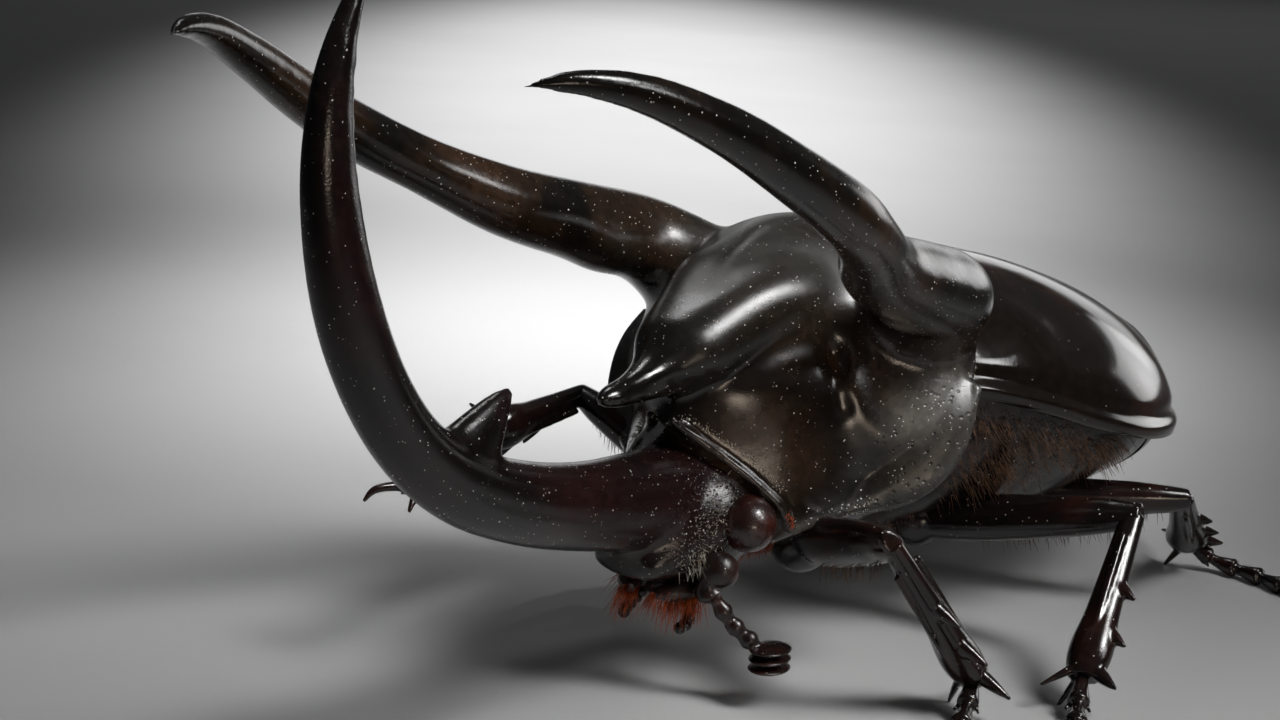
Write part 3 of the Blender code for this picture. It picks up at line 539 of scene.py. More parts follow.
def profile(stations, count):
    """Smooth samples of stations: y, half width, height of the base and of the crown."""
    return through([(0.0, y, 0.0, *sizes) for y, *sizes in stations], count)[:, (1, 3, 4, 5)]


def arch(turn, fullness, y, half, base, crown, inner=0.0):
    """An arched hoop over a flat base, out to half and in to inner."""
    wide = inner + (half - inner) * powered(np.cos(turn), 2 / fullness)
    high = base + (crown - base) * powered(np.sin(turn), 2 / fullness)
    return np.stack([wide, np.full(len(turn), y), high], axis=1)


def arched_rings(stations, count, sides, fullness):
    """Half hoops with a flat base."""
    turn = np.linspace(0.0, math.pi, sides)
    return [arch(turn, fullness, *station) for station in profile(stations, count)]


def other_side(line):
    return [(-row[0], *row[1:]) for row in line]


def pronotum():
    """The pronotum with its three horns, as one skin."""
    horn = sweep("horn", PRONOTAL_HORN, 120, 40, (0.8, 0.5, 0.0))
    hoops = hoop_rings(PROTHORAX_HOOPS, 60, 96)
    things = [
        loft("shell", hoops),
        mirrored(horn, "horn"),
        horn,
        sweep("prow", MEDIAN_HORN, 60, 32),
    ]
    skin = soften(press(melt("pronotum", things, cell=0.36, rounds=19), PRONOTUM_MARKS), 6)
    rims = []
    for turn in (lambda line: line, other_side):
        rims.append(bead_line("rim", turn(FRONT_RIM), 0.8))
        rims.append(bead_line("rim", turn(SIDE_RIM), 0.9))
        rims.append(sweep("flange", turn(FLANGE), 30, 20, (0.5, -0.8, 0.0)))
    skin = melt("pronotum", [skin, *rims], cell=0.24, rounds=4)
    return press(skin, [(hoops[hoop], reach, height) for hoop, reach, height in COLLAR_LINES], AS_DRAWN)


def notches(rows, first, last, count):
    """Low swellings in a row along the inner edge of a swept horn."""
    spine = through(rows, HORN_SAMPLES)[int(first * HORN_SAMPLES):int(last * HORN_SAMPLES)]
    for row in spine[:: len(spine) // count]:
        x, y, z, _, deep = row
        lean = unit(np.array((0.0, HORN_MIDDLE[0] - y, HORN_MIDDLE[1] - z)))
        yield (x, y + lean[1] * deep * HORN_EDGE, z + lean[2] * deep * HORN_EDGE)


def head():
    """The head and its toothed horn, as one skin."""
    things = [
        sweep("capsule", HEAD_CAPSULE, 40, 40),
        sweep("horn", HEAD_HORN, 160, 40),
        sweep("tooth", HORN_TOOTH, 30, 24),
    ]
    skin = melt("head_skin", things, cell=0.34, rounds=21)
    skin = melt("head_skin", [skin], cell=0.22, rounds=3)
    bumps = [((spot,), HORN_BUMP[0], HORN_BUMP[1]) for spot in notches(HEAD_HORN, *HORN_BUMPS_AT)]
    return press(skin, bumps, AS_DRAWN)


def eyes():
    left = ball("eye_left_lens", EYE_CENTRE, (EYE_RADIUS,) * 3, 32)
    return left, mirrored(left, "eye_right_lens")


def feeler(name, beads):
    """A feeler: swollen joints in a row, and a club of thin leaves."""
    line = through([(*bead, bead[3]) for bead in beads], 8 * len(beads))
    things = [tube("stalk", line, 20, (1.0, 0.0, 0.0))]
    end = Vector(beads[-1][:3])
    way = (end - Vector(beads[-3][:3])).normalized()
    long, broad, thick = CLUB_RADII
    for k in range(CLUB_LEAVES):
        leaf = ball("leaf", (0, 0, 0), (long, broad, thick / CLUB_LEAVES * 0.8), 16)
        lift = (k - (CLUB_LEAVES - 1) / 2) * thick * 0.7
        leaf.data.transform(Matrix.Translation(end + way * long / 2 + Vector((0, 0, lift))))
        things.append(leaf)
    return melt(name, things, 0.09, 2)


def jaws():
    """The chin, the lip and a rounded mandible on each side."""
    jaw = sweep("mandible", MANDIBLES, 24, 24)
    lip = ball("lip", *LIP, 16)
    chin = ball("chin", *CHIN, 24)
    return melt("jaws", [chin, lip, mirrored(jaw, "mandible"), jaw], 0.13, 3)


def palp(name, side):
    """A jointed mouth feeler."""
    line = through(PALP, 40) * (side, 1, 1, 1, 1)
    pinch = 1.0 - 0.22 * np.cos(np.linspace(0.0, 6 * math.pi, len(line))) ** 8
    line[:, 3:] *= pinch[:, None]
    return tube(name, line, 20, (1.0, 0.0, 0.0))


def wing_case(name, side):
    """One wing case: half of an arched dome with a flat base, a rim and a seam edge."""
    arc = np.linspace(0.0, 1.0, 110) ** 0.9 * math.pi / 2
    rings = []
    for y, half, base, crown in profile(ELYTRA, 190):
        ring = arch(arc, ELYTRA_FULLNESS, y, half, base, crown, GAP / 2)
        rings.append(np.concatenate([ring, [(GAP / 2, y, base)]]))
    edge = [(half, y, base + 0.9) for y, half, base, _ in ELYTRA]
    ditch = [(half - 0.15, y, base + 2.1) for y, half, base, _ in ELYTRA]
    seam = [(1.3, y, crown) for y, _, _, crown in ELYTRA[1:-1]]
    marks = (*ELYTRA_MARKS, (edge, 0.55, 0.25), (ditch, 0.7, -0.22), (seam, 0.5, -0.16))
    return press(loft(name, np.array(rings) * (side, 1, 1)), marks, (side,))


def shield():
    """The small pointed shield between the bases of the wing cases."""
    half = through([(x, y, 0.0) for x, y in SCUTELLUM], 24)[:, :2]
    outline = np.concatenate([half, (half * (-1, 1))[-2::-1]])
    low, shoulder, top = SCUTELLUM_HEIGHTS
    levels = ((1.0, low), (1.0, shoulder), (0.97, shoulder + 0.2), (0.9, shoulder + 0.32), (0.75, top),
              (0.5, top), (0.2, top))
    rings = [np.column_stack([outline * share, np.full(len(outline), z)]) for share, z in levels]
    return loft("shield", rings)


def underside():
    """The hind breast between the legs, with the grooves of its side plates."""
    breast = loft("breast", arched_rings(PTEROTHORAX, 70, 90, UNDERSIDE_FULLNESS))
    return press(breast, BREAST_PLATES)


def belly():
    """The abdomen: overlapping belly plates, each with a step down at its end."""
    rings = arched_rings(ABDOMEN, 30 * STERNITES, 90, UNDERSIDE_FULLNESS)
    for k, ring in enumerate(rings):
        share = (k / len(rings) * STERNITES) % 1.0
        ring[1:-1, 2] += 0.35 * share**6 + 0.1
    return loft("belly", rings)


def thorn(start, way, length, thickness):
    """A pointed cone, its root sunk in whatever it stands on."""
    way = Vector(way).normalized()
    points = [start - way * thickness * 0.6, start + way * length * 0.45, start + way * length]
    sizes = [(thickness,) * 2, (thickness * 0.7,) * 2, (TIP_THICKNESS,) * 2]
    return sweep("thorn", sized(points, sizes), 16, 12, way.orthogonal())


def femur(name, hip, knee, flat):
    """A thigh, deepest near the hip, with the ball of its hip joint."""
    across, deep = LEG_SIZES[name.split("_")[0]][:2]
    points = [hip.lerp(knee, along) for along, _ in FEMUR_SHAPE]
    sizes = [(across * share, deep * share) for _, share in FEMUR_SHAPE]
    things = [
        sweep("thigh", sized(points, sizes), 40, 32, flat),
        ball("hip", hip, (deep * HIP_SHARE,) * 3, 16),
    ]
    thigh = melt(f"thigh_{name}", things, 0.17, 8)
    end = hip.lerp(knee, 0.86)
    groove = [tuple(end + flat * 0.9 * s * deep / 2 * 0.55 - Vector((0, 0, 0.5))) for s in (1, -1)]
    return press(thigh, [((point,), 1.0, -0.12) for point in groove], AS_DRAWN)


def tibia(name, knee, ankle, flat, outward):
    """A shin that widens to the foot, with keels, teeth down its outer edge and two spurs."""
    pair = name.split("_")[0]
    thin, thick = LEG_SIZES[pair][2:]
    shin = (ankle - knee).normalized()
    points = [knee.lerp(ankle, along) for along, _ in TIBIA_SHAPE]
    depths = [(thin + (thick - thin) * along) * share for along, share in TIBIA_SHAPE]
    sizes = [(depth * TIBIA_FLATNESS, depth) for depth in depths]
    things = [sweep("bone", sized(points, sizes), 40, 32, flat)]
    for along, length in TIBIA_TEETH[pair]:
        edge = (thin + (thick - thin) * along) / 2 - TOOTH_THICKNESS / 3
        root = knee.lerp(ankle, along) + outward * edge
        things.append(thorn(root, outward + shin * TOOTH_LEAN, length, TOOTH_THICKNESS))
    for side in (1, -1):
        keel = [tuple(knee.lerp(ankle, along) + flat * side * thick * 0.33 + outward * 0.3)
                for along in (0.16, 0.4, 0.65, 0.9)]
        things.append(bead_line("keel", keel, 0.55, 24))
        root = knee.lerp(ankle, TIBIA_SHAPE[-1][0]) - outward * thick / 5 + flat * side * SPUR_SPREAD
        way = shin * 0.75 - outward * 0.55 + flat * side * SPUR_SPREAD / 2
        things.append(thorn(root - shin * SPUR_THICKNESS / 2, way, SPUR_LENGTH, SPUR_THICKNESS))
    return melt(f"shin_{name}", things, 0.14, 5)


def tarsus(name, ankle, foot):
    """Five joints in a row, each a small bell with spines at its end, and two hooked claws."""
    rows = through([ankle, *foot], JOINT_RINGS * FOOT_JOINTS + 1)
    share = np.arange(len(rows)) / JOINT_RINGS % 1.0
    bell = FOOT_WAIST + (FOOT_SWELL - FOOT_WAIST) * np.clip(share * 1.25, 0, 1) ** 1.3 * (share < 0.93)
    line = np.column_stack([rows, bell, bell])
    heading = Vector(rows[-1] - rows[-8]).normalized()
    out = heading.cross(Vector((0, 0, 1))).normalized()
    things = [tube("toes", line, 20, out)]
    for k in range(1, FOOT_JOINTS + 1):
        end = Vector(rows[JOINT_RINGS * k - 1])
        forth = (end - Vector(rows[JOINT_RINGS * k - 6])).normalized()
        for side in (1, -1):
            root = end - forth * 0.5 + out * side * 0.45 - Vector((0, 0, 0.2))
            things.append(thorn(root, forth + out * side * 0.5, *FOOT_SPINE))
    for side in (1, -1):
        points = [Vector(rows[-1]) + heading * ahead + out * side * apart + Vector((0, 0, rise))
                  for ahead, apart, rise, _ in CLAW]
        sizes = [(size,) * 2 for *_, size in CLAW]
        things.append(sweep("claw", sized(points, sizes), 24, 14, (0, 0, 1)))
    return melt(f"foot_{name}", things, 0.12, 2)


def leg(name, hip, knee, ankle, foot):
    """Thigh, shin and foot of one leg."""
    hip, knee, ankle = map(Vector, (hip, knee, ankle))
    shin_way = (ankle - knee).normalized()
    teeth_way = Vector(TEETH_WAY.get(name, knee - hip))
    outward = (teeth_way - teeth_way.project(shin_way)).normalized()
    flat = outward.cross(shin_way)
    pieces = {
        f"femur_{name}": femur(name, hip, knee, flat),
        f"tibia_{name}": tibia(name, knee, ankle, flat, outward),
        f"tarsus_{name}": tarsus(name, ankle, foot),
    }
    for thing in pieces.values():
        stand_on_floor(thing)
    return pieces


def stand_on_floor(thing):
    """Presses what would sink below the floor flat on it."""
    points = places(thing)
    points[:, 2] = np.maximum(points[:, 2], 0.0)
    move_points(thing, points)


def roots_on(thing, line, spread, count, rng):
    """Random places on the surface near the line, with the normals there."""
    bm = opened(thing)
    tree = BVHTree.FromBMesh(bm)
    bm.free()
    trace = through(line, 40)
    picks = trace[rng.integers(0, len(trace), count)] + rng.normal(0.0, spread, (count, 3))
    found = [tree.find_nearest(Vector(pick)) for pick in picks]
    return np.array([spot[0] for spot in found]), np.array([spot[1] for spot in found])


def coat(name, roots, ways, droop, lengths, thickness):
    """Tapered three-sided bristles in one mesh, each with its own patch of the coat's map."""
    count = len(roots)
    along = np.linspace(0.0, 1.0, HAIR_RINGS)
    lines = (roots[:, None] + (ways * lengths[:, None])[:, None] * along[None, :, None]
             + (droop * lengths[:, None])[:, None] * along[None, :, None] ** 2)
    side = unit(np.cross(ways, np.where(np.abs(ways[:, 2:]) < 0.9, (0.0, 0.0, 1.0), (1.0, 0.0, 0.0))))
    other = np.cross(ways, side)
    turn = circle(HAIR_SIDES)
    fan = side[:, None] * np.cos(turn)[None, :, None] + other[:, None] * np.sin(turn)[None, :, None]
    thin = thickness / 2 * (1.0 - 0.85 * along)
    points = lines[:, :, None] + fan[:, None] * thin[None, :, None, None]
    faces = [tuple(range(HAIR_SIDES))[::-1]]
    for ring in range(HAIR_RINGS - 1):
        for k in range(HAIR_SIDES):
            near, far = ring * HAIR_SIDES, (ring + 1) * HAIR_SIDES
            after = (k + 1) % HAIR_SIDES
            faces.append((near + k, near + after, far + after, far + k))
    faces.append(tuple(range((HAIR_RINGS - 1) * HAIR_SIDES, HAIR_RINGS * HAIR_SIDES)))
    size = HAIR_RINGS * HAIR_SIDES
    mesh = bpy.data.meshes.new(name)
    every = [tuple(k + size * hair for k in face) for hair in range(count) for face in faces]
    mesh.from_pydata(points.reshape(-1, 3).tolist(), [], every)
    unwrap(mesh, roots, size, along)
    return shown(name, mesh)


def unwrap(mesh, roots, size, along):
    """The coat's map: each bristle is a small patch at its root's place round the body."""
    places_round = np.arctan2(roots[:, 0], roots[:, 2] - ROUND_MIDDLE) / (2 * math.pi) + 0.5
    places_along = (roots[:, 1] - BODY_ENDS[0]) / (BODY_ENDS[1] - BODY_ENDS[0])
    corners = np.empty(len(mesh.loops), np.int32)
    mesh.loops.foreach_get("vertex_index", corners)
    hair, point = corners // size, corners % size
    shift = np.stack([point % HAIR_SIDES / HAIR_SIDES, along[point // HAIR_SIDES]], axis=1) * HAIR_PATCH
    places_on_map = np.stack([places_round[hair], places_along[hair]], axis=1) + shift
    mesh.uv_layers.new(name="OFBake").data.foreach_set("uv", places_on_map.astype(np.float32).ravel())


def bristles(name, thing, patches, finish, seed, thickness=HAIR_THICKNESS):
    """Bristles over several patches of a surface, on both sides of it."""
    rng = np.random.default_rng(seed)
    parts = []
    for line, spread, count, comb, lift, lengths, mirror in patches:
        for side in BOTH_SIDES if mirror else AS_DRAWN:
            flip = np.array((side, 1.0, 1.0))
            roots, faces_out = roots_on(thing, np.array(line) * flip, spread, count, rng)
            combed = np.array(comb) * flip
            ways = unit(faces_out * lift + combed + rng.normal(0.0, RUFFLE, (count, 3)))
            droops = combed * DROOP + rng.normal(0.0, DROOP_SPREAD, (count, 3))
            parts.append((roots - faces_out * ROOT_DEPTH, ways, droops, rng.uniform(*lengths, count)))
    made = coat(name, *(np.concatenate(part) for part in zip(*parts)), thickness)
    settle(made)
    made.data.materials.append(finish)
    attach(made, "root")


def settle(thing):
    """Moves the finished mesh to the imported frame, in metres."""
    shift = Matrix.Translation((-FOOTPRINT_MIDDLE[0] * MM, -FOOTPRINT_MIDDLE[1] * MM, 0.0))
    thing.data.transform(shift @ Matrix.Scale(MM, 4))
    thing.data.shade_smooth()
    thing.data.update()
    return thing


def place(thing, finish, slot, *nodes):
    """Settles a piece, gives it its finish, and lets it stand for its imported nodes."""
    settle(thing)
    thing.data.materials.clear()
    thing.data.materials.append(finish)
    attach(thing, "root")
    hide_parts(*nodes)
    return thing


class Nodes:
    """A short hand for building one node tree of a finish."""

    def __init__(self, name):
        self.material = bpy.data.materials.new(name)
        self.material.use_nodes = True
        self.tree = self.material.node_tree
        self.shader = self.tree.nodes["Principled BSDF"]
        self.millimetres = self.scaled(self.new("TexCoord").outputs["Object"], 1 / MM)

    def new(self, kind, **inputs):
        made = self.tree.nodes.new("ShaderNode" + kind)
        for key, value in inputs.items():
            self.feed(value, made.inputs[key])
        return made

    def feed(self, value, target):
        """Links a socket, or sets a plain value."""
        if isinstance(value, bpy.types.NodeSocket):
            self.tree.links.new(value, target)
        else:
            target.default_value = value

    def set(self, name, value):
        """Feeds one input of the shader."""
        self.feed(value, self.shader.inputs[name])

    def noise(self, scale, detail=3.0, roughness=0.5, distortion=0.0):
        made = self.new("TexNoise", Vector=self.millimetres, Scale=scale, Detail=detail,
                        Roughness=roughness, Distortion=distortion)
        return made.outputs["Fac"]

    def cells(self, scale, stretch=None):
        """Distance to the nearest of scattered points, and a random value for each point."""
        source = self.millimetres
        if stretch:
            source = self.new("Mapping", Vector=source, Scale=stretch).outputs[0]
        made = self.new("TexVoronoi", Vector=source, Scale=scale)
        return made.outputs["Distance"], self.new("SeparateColor", Color=made.outputs["Color"]).outputs[0]

    def painted(self, name):
        made = self.new("Attribute")
        made.attribute_name = name
        return made.outputs["Fac"]

    def ramp(self, value, low, high, start=0.0, end=1.0):
        """Maps low..high smoothly to start..end."""
        made = self.new("MapRange", **{"Value": value, "From Min": low, "From Max": high, "To Min": start,
                                       "To Max": end})
        made.interpolation_type = "SMOOTHSTEP"
        return made.outputs["Result"]

    def maths(self, operation, a, b):
        made = self.new("Math")
        made.operation = operation
        self.feed(a, made.inputs[0])
        self.feed(b, made.inputs[1])
        return made.outputs[0]

    def mixed(self, share, a, b):
        made = self.new("Mix")
        made.data_type = "RGBA"
        self.feed(share, made.inputs["Factor"])
        for value, target in ((a, made.inputs["A"]), (b, made.inputs["B"])):
            self.feed(value if isinstance(value, bpy.types.NodeSocket) else (*value, 1.0), target)
        return made.outputs["Result"]

    def scaled(self, colour, amount):
        made = self.new("VectorMath")
        made.operation = "SCALE"
        self.feed(colour, made.inputs[0])
        self.feed(amount, made.inputs["Scale"])
        return made.outputs[0]

    def bump(self, height, distance, below=None):
        """Relief in millimetres."""
        made = self.new("Bump", Distance=distance * MM, Height=height)
        if below:
            self.feed(below, made.inputs["Normal"])
        return made.outputs["Normal"]


def specks(nodes, scale, size, share):
    """Scattered specks of dust: only some of the points carry one, each of its own size."""
    away, chance = nodes.cells(scale)
    wide = nodes.ramp(chance, 1.0 - share, 1.0, 0.0, size)
    return nodes.ramp(nodes.maths("SUBTRACT", wide, away), 0.0, 0.04)


SHELL_IOR = 1.56
DUST_COLOUR = (0.75, 0.73, 0.68)
DUST_LAYERS = ((1.3, 0.12, 1.0), (2.6, 0.19, 1.0), (4.2, 0.22, 0.5))  # scale, size, share of the dust
PAINTED_SHEEN_GREY = (0.11, 0.105, 0.095)  # painted sheen: a pale grey that stands for the reflection on the hind lobe and the side rim
BRISTLE_ROUGH = (0.37, 0.53)


def chitin(name, dark, warm_tone_and_glint, satin=None, tint_scale=0.09, warmth=0.5, rough=(0.13, 0.2), satin_rough=0.38,
           grain=(9.0, 0.01), waves=0.02, pits=None, dust=0.12):
    """Polished insect shell: slow drift between two tints with painted warm glints, satin fields, a painted
    grey sheen, grain, pits and white dust.
    """
    nodes = Nodes(name)
    drift = nodes.ramp(nodes.noise(tint_scale, 4.0, 0.55, 0.4), 0.42, 0.7, 0.0, warmth)
    # the warm tone drifts at random over the shell, and is raised further where warm glints are painted
    shell = nodes.mixed(nodes.maths("MAXIMUM", drift, nodes.painted("warm_tone_and_glint")), dark, warm_tone_and_glint)
    rub = nodes.painted("satin")
    if satin:
        shell = nodes.mixed(rub, shell, satin)
    # a pale grey painted over the hind lobe and the side rim, standing for their reflection
    shell = nodes.mixed(nodes.painted("painted_sheen"), shell, PAINTED_SHEEN_GREY)
    shell = nodes.scaled(shell, nodes.ramp(nodes.noise(1.4, 4.0, 0.6), 0.35, 0.7, 0.75, 1.3))
    dusty = 0.0
    for scale, size, share in DUST_LAYERS:
        dusty = nodes.maths("MAXIMUM", dusty, specks(nodes, scale, size, dust * share))
    nodes.set("Base Color", nodes.mixed(dusty, shell, DUST_COLOUR))
    polish = nodes.ramp(nodes.noise(0.35, 5.0, 0.6), 0.3, 0.7, *rough)
    polish = nodes.maths("ADD", polish, nodes.maths("MULTIPLY", rub, satin_rough - rough[0]))
    polish = nodes.maths("MAXIMUM", polish, nodes.maths("MULTIPLY", dusty, 0.8))
    nodes.set("Roughness", polish)
    relief = nodes.bump(nodes.noise(grain[0], 2.0, 0.5), grain[1])
    relief = nodes.bump(nodes.noise(0.6, 2.0, 0.5), waves, relief)
    if pits:
        scale, wide, deep, stretch = pits
        away, _ = nodes.cells(scale, stretch)
        hole = nodes.ramp(away, 0.0, wide, 0.0, 1.0)
        smooth = nodes.ramp(nodes.painted("pitted"), 0.25, 0.75, 1.0, 0.0)
        relief = nodes.bump(nodes.maths("MAXIMUM", hole, smooth), deep, relief)
    nodes.set("Normal", nodes.bump(dusty, 0.04, relief))
    nodes.set("IOR", SHELL_IOR)
    return nodes.material


def lens(name):
    """Dark brown eye with fine facets under a glassy coat."""
    nodes = Nodes(name)
    away, _ = nodes.cells(9.0)
    colour = nodes.mixed(nodes.ramp(nodes.noise(0.5), 0.35, 0.7), (0.016, 0.005, 0.004), (0.05, 0.012, 0.008))
    nodes.set("Base Color", colour)
    nodes.set("Roughness", nodes.ramp(away, 0.0, 0.6, 0.22, 0.3))
    nodes.set("Normal", nodes.bump(nodes.ramp(away, 0.0, 0.7, 1.0, 0.0), 0.01))
    nodes.set("Coat Weight", 0.4)
    nodes.set("Coat Roughness", 0.05)
    return nodes.material


def bristle(name, root, tip):
    """A hair finish that lightens in patches."""
    nodes = Nodes(name)
    nodes.set("Base Color", nodes.mixed(nodes.ramp(nodes.noise(1.2), 0.35, 0.7), root, tip))
    nodes.set("Roughness", nodes.ramp(nodes.noise(3.0), 0.3, 0.7, *BRISTLE_ROUGH))
    return nodes.material


# Painted fields: line, reach and strength.
DISC = ((0.0, -19.0, 32.6), (0.0, -14.0, 35.0), (0.0, -8.0, 36.4), (0.0, -2.0, 34.0))
DISC_SIDE = ((4.0, -15.0, 33.6), (7.0, -9.0, 35.0), (8.0, -4.0, 33.6))
FLANK_GLOW = ((4.6, -23.4, 21.0), (6.4, -20.6, 21.6), (7.0, -19.4, 19.0))
LOBE_FACE = ((15.6, -8.9, 24.4), (14.9, -10.4, 23.4), (13.9, -12.0, 22.4))
PRONOTUM_FIELDS = {
    # warm_tone_and_glint on the pronotum: reddish-brown glints and a warm glow painted on the lower flank, in
    # its groove, in the hollow by the hind lobe and on the far horn root
    "warm_tone_and_glint": ((FLANK_GLOW, 2.8, 0.6), (((13.9, -12.8, 18.8),), 1.4, 0.9), (FLANK_GROOVE, 0.8, 0.8),
             (((10.3, -14.7, 28.7),), 1.2, 0.9)),
    "satin": ((DISC, 5.5, 1.0), (DISC_SIDE, 4.5, 1.0), (LOBE, 4.2, 1.0), (CREST, 2.6, 0.6),
              (ROOT_SHOULDER, 2.2, 0.8)),
    "pitted": ((LOBE, 3.4, 1.0), (SIDE_RIM, 1.5, 0.7)),
    # painted sheen: the reflection of the hind lobe's face and of the side rim, painted as a pale grey
    "painted_sheen": ((LOBE_FACE, 1.9, 1.0), (SIDE_RIM, 0.7, 0.5)),
}
HEAD_FIELDS = {
    # on the head the same field is a plain reddish tone along the horn
    "warm_tone_and_glint": ((((1.0, -36.0, 18.0), (2.0, -42.0, 19.0)), 3.0, 0.6),),
    "pitted": ((((4.4, -27.0, 14.0), (5.0, -23.0, 17.0)), 4.0, 1.0),),
}


def fringe(name, thigh, hip, knee, finish, seed):
    """A thin fringe of bristles along the lower edge of a thigh."""
    hip, knee = np.array(hip), np.array(knee)
    line = [hip + (knee - hip) * share + THIGH_EDGE for share in THIGH_FRINGE_AT]
    bristles(f"fringe_{name}", thigh, ((line, *THIGH_PATCH),), finish, seed)


def finishes():
    return {
        "black": chitin("black_shell_finish", (0.0055, 0.0045, 0.0035), (0.07, 0.034, 0.016),
                        satin=(0.024, 0.021, 0.016), pits=(1.7, 0.32, 0.08, (1.0, 0.6, 1.0)), dust=0.4),
        "hood": chitin("head_shell_finish", (0.006, 0.0045, 0.004), (0.03, 0.008, 0.007), rough=(0.16, 0.26),
                       grain=(6.0, 0.016), pits=(2.2, 0.35, 0.06, (1.0, 1.0, 1.0)), dust=0.35),
        "brown": chitin("brown_shell_finish", (0.008, 0.0055, 0.004), (0.045, 0.016, 0.009),
                        rough=(0.09, 0.13), grain=(5.0, 0.004), waves=0.008, dust=0.08),
        "limb": chitin("leg_shell_finish", (0.007, 0.0045, 0.004), (0.04, 0.012, 0.008), tint_scale=0.16,
                       pits=(1.8, 0.3, 0.05, (1.0, 1.0, 1.0)), dust=0.14),
        "pale": bristle("pale_bristle_finish", (0.42, 0.36, 0.28), (0.75, 0.72, 0.66)),
        "orange": bristle("orange_bristle_finish", (0.28, 0.04, 0.01), (0.6, 0.12, 0.022)),
        "tan": bristle("tan_bristle_finish", (0.05, 0.022, 0.010), (0.16, 0.075, 0.03)),
        "rust": chitin("mouth_parts_finish", (0.012, 0.006, 0.005), (0.05, 0.014, 0.008), tint_scale=0.5,
                       rough=(0.25, 0.35), dust=0.2),
    }


def dress():
    """Every piece of the beetle, finished and riding on the body."""
    finish = finishes()
    skin = pronotum()
    paint(skin, PRONOTUM_FIELDS)
    bristles("cheek_bristles", skin, CHEEK_PATCHES, finish["orange"], 11)
    bristles("rim_flecks", skin, RIM_FLECKS, finish["pale"], 15, FLECK_THICKNESS)
    place(skin, finish["black"], "black_shell", "prothorax", "pronotal_horn_left", "pronotal_horn_right",
          "pronotal_horn_median")
    cap = head()
    paint(cap, HEAD_FIELDS)
    bristles("face_bristles", cap, FACE_PATCHES, finish["pale"], 12)
    bristles("face_flecks", cap, FACE_FLECKS, finish["pale"], 16, FLECK_THICKNESS)
    place(cap, finish["hood"], "black_shell", "head", "head_horn")
    glass = lens("eye_lens_finish")
    for side, eye in zip(("left", "right"), eyes()):
        place(eye, glass, "eye_lens", f"eye_{side}")
    rust = finish["rust"]
    place(feeler("feeler_left", ANTENNA_LEFT), rust, "mouth_parts", "antenna_left")
    place(feeler("feeler_right", ANTENNA_RIGHT), rust, "mouth_parts", "antenna_right")
    mouth = jaws()
    bristles("mouth_bristles", mouth, MOUTH_PATCHES, finish["orange"], 13)
    place(mouth, rust, "mouth_parts", "mouthparts")
    for side, sign in (("left", 1), ("right", -1)):
        place(palp(f"mouth_feeler_{side}", sign), rust, "mouth_parts", f"palp_{side}")
        place(wing_case(f"wing_case_{side}", sign), finish["brown"], "brown_shell", f"elytron_{side}")
    place(shield(), finish["black"], "black_shell", "scutellum")
    breast = underside()
    bristles("side_bristles", breast, SIDE_PATCHES, finish["tan"], 14)
    place(breast, finish["limb"], "black_shell", "pterothorax")
    place(belly(), finish["limb"], "black_shell", "abdomen")
    for seed, (name, line) in enumerate(LEGS.items(), 20):
        pieces = leg(name, *line)
        fringe(name, pieces[f"femur_{name}"], *line[:2], finish["tan"], seed)
        for node, thing in pieces.items():
            place(thing, finish["limb"], "leg_shell", node)


# The camera: how it looks, in degrees, its distance and shift in millimetres, its lens.
CAMERA_AZIMUTH = 35.0
CAMERA_ELEVATION = 13.3
CAMERA_ROLL = 3.3
CAMERA_DISTANCE = 200.0
CAMERA_TARGET = (-0.2, -1.6, 27.0)
CAMERA_SLIDE = (-12.1, -2.8)
CAMERA_LENS = 67.5


def camera():
    """The photograph's view."""
    turn, rise, roll = (math.radians(angle) for angle in (CAMERA_AZIMUTH, CAMERA_ELEVATION, CAMERA_ROLL))
    back = Vector((math.sin(turn) * math.cos(rise), -math.cos(turn) * math.cos(rise), math.sin(rise)))
    level = Vector((math.cos(turn), math.sin(turn), 0.0))
    above = back.cross(level)
    right = level * math.cos(roll) + above * math.sin(roll)
    up = above * math.cos(roll) - level * math.sin(roll)
    spot = Vector(CAMERA_TARGET) + back * CAMERA_DISTANCE + right * CAMERA_SLIDE[0] + up * CAMERA_SLIDE[1]
    data = bpy.data.cameras.new("camera")
    data.lens = CAMERA_LENS
    data.sensor_width = 36.0
    data.clip_start = 0.005
    seen = shown("camera", data)
    seen.matrix_world = Matrix.Translation(spot * MM) @ Matrix((right, up, back)).transposed().to_4x4()
    bpy.context.scene.camera = seen


# The floor, in metres: its flat loops' radii, and the radius of the bend beyond them.
FLOOR_FLAT = (0.001, 0.3, 0.7, 0.95)
FLOOR_BEND = 0.5
FLOOR_SIDES = 96
FLOOR_TINTS = ((0.41, 0.41, 0.41), (0.44, 0.44, 0.44))


def floor():
    """A round pale floor that curves up at its edge."""
    rows = [(radius, 0.0) for radius in FLOOR_FLAT]
    for turn in np.linspace(0.1, 1.45, 16):
        rows.append((FLOOR_FLAT[-1] + FLOOR_BEND * math.sin(turn), FLOOR_BEND - FLOOR_BEND * math.cos(turn)))
    turns = circle(FLOOR_SIDES)
    rings = [[(r * math.cos(t), r * math.sin(t), z) for t in turns] for r, z in rows]
    thing = loft("floor", rings, closed=(0,))
    nodes = Nodes("floor_finish")
    nodes.set("Base Color", nodes.mixed(nodes.ramp(nodes.noise(0.012), 0.3, 0.7), *FLOOR_TINTS))
    nodes.set("Roughness", nodes.ramp(nodes.noise(0.6), 0.3, 0.7, 0.8, 0.9))
    nodes.set("Specular IOR Level", 0.1)
    thing.data.materials.append(nodes.material)
    thing.data.shade_smooth()


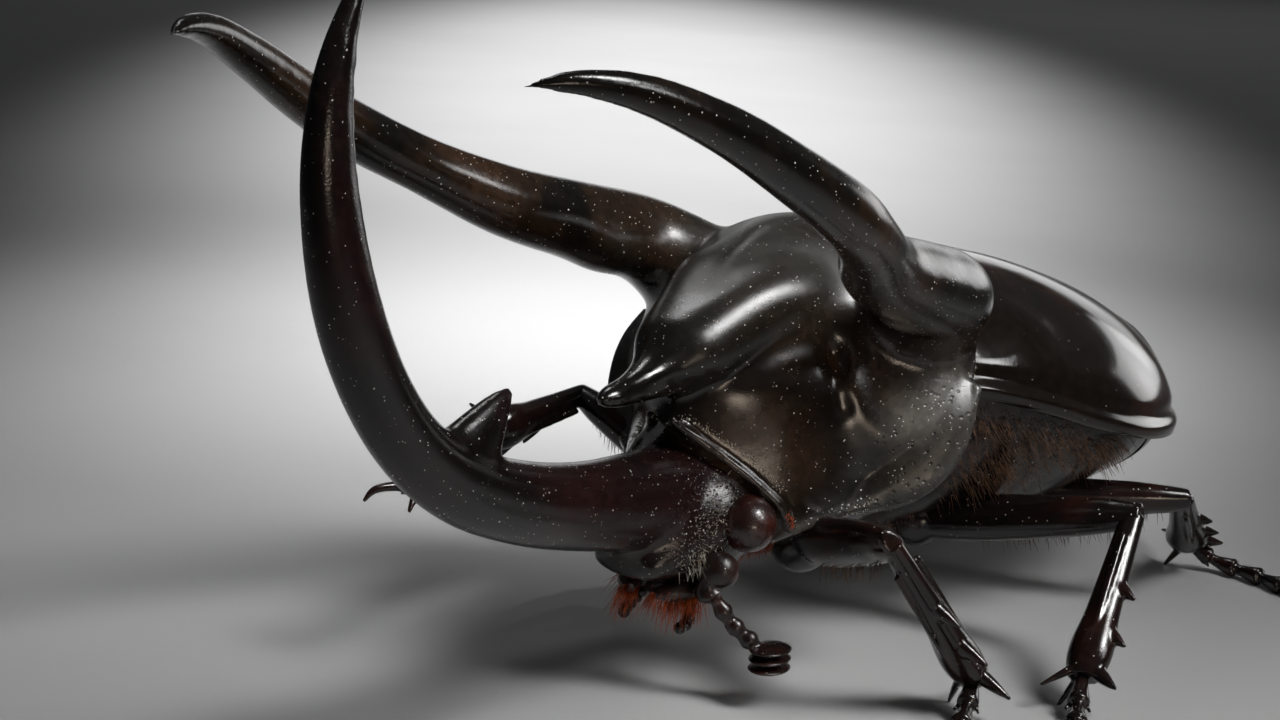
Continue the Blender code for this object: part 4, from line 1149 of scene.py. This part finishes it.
# Lamp panels: spot, target, watts, sizes, spread in degrees, and the way of the long side.
PANELS = {
    "key": ((0.184, 0.020, 0.266), (0.012, -0.016, 0.03), 0.056, (0.16, 0.09), 34.0, (-0.69, 0.0, 0.72)),
    "crest": ((0.30, 0.045, 0.20), (0.004, -0.016, 0.03), 0.006, (0.08, 0.08), 30.0, (1.0, 0.0, 0.0)),
    "side": ((0.30, -0.195, 0.030), (0.015, -0.012, 0.018), 0.008, (0.09, 0.055), 50.0, (0.5, 0.85, 0.0)),
    "hind": ((0.06, 0.40, 0.06), (0.0, 0.0, 0.03), 0.012, (0.2, 0.11), 50.0, (1.0, 0.0, 0.0)),
    "rim": ((-0.20, 0.13, 0.33), (0.0, -0.012, 0.03), 0.007, (0.12, 0.06), 40.0, (0.3, 1.0, 0.0)),
    "back_wall": ((-0.40, 0.83, 0.11), (0.0, 0.0, 0.03), 0.10, (0.9, 0.16), 80.0, (0.90, 0.43, 0.0)),
}
PANEL_TINTS = {"side": (1.0, 0.82, 0.66)}
# Oval pools of light on the floor: middle, long and short radius, the way of the long one, and watts.
POOLS = {
    "near_pool": ((-0.070, 0.080), 0.085, 0.085, (1.0, 0.0), 86.0),
    "far_pool": ((-0.228, 0.303), 0.38, 0.118, (-0.58, 0.82), 116.0),
}
POOL_LAMP_HEIGHT = 1.2
POOL_LAMP_RADIUS = 0.04
WORLD_COLOUR = (0.8, 0.82, 0.86, 1.0)
WORLD_STRENGTH = 0.05


def panel(name, spot, target, watts, sizes, spread, long_way):
    """A lamp panel at a spot, turned to its target."""
    data = bpy.data.lights.new(name, "AREA")
    data.energy = watts
    data.color = PANEL_TINTS.get(name, (1.0, 1.0, 1.0))
    data.shape = "RECTANGLE"
    data.size, data.size_y = sizes
    data.spread = math.radians(spread)
    away = (Vector(spot) - Vector(target)).normalized()
    long = Vector(long_way).cross(away).cross(-away).normalized()
    turn = Matrix((long, away.cross(long), away)).transposed().to_4x4()
    shown(name, data).matrix_world = Matrix.Translation(spot) @ turn


def pool(name, middle, long, short, way, watts):
    """An oval pool of light, from a lamp right above it."""
    data = bpy.data.lights.new(name, "SPOT")
    data.energy = watts
    data.spot_size = 2 * math.atan(long / POOL_LAMP_HEIGHT)
    data.spot_blend = 1.0
    data.shadow_soft_size = POOL_LAMP_RADIUS
    turn = Matrix.Rotation(math.atan2(way[1], way[0]), 4, "Z")
    squeeze = Matrix.Diagonal((1.0, short / long, 1.0, 1.0))
    shown(name, data).matrix_world = Matrix.Translation((*middle, POOL_LAMP_HEIGHT)) @ turn @ squeeze


def lights():
    for name, values in POOLS.items():
        pool(name, *values)
    for name, values in PANELS.items():
        panel(name, *values)
    world = bpy.data.worlds.new("studio")
    world.use_nodes = True
    background = world.node_tree.nodes["Background"].inputs
    background["Color"].default_value = WORLD_COLOUR
    background["Strength"].default_value = WORLD_STRENGTH
    bpy.context.scene.world = world
    bpy.context.scene.view_settings.view_transform = "Standard"


camera()
floor()
lights()
dress()
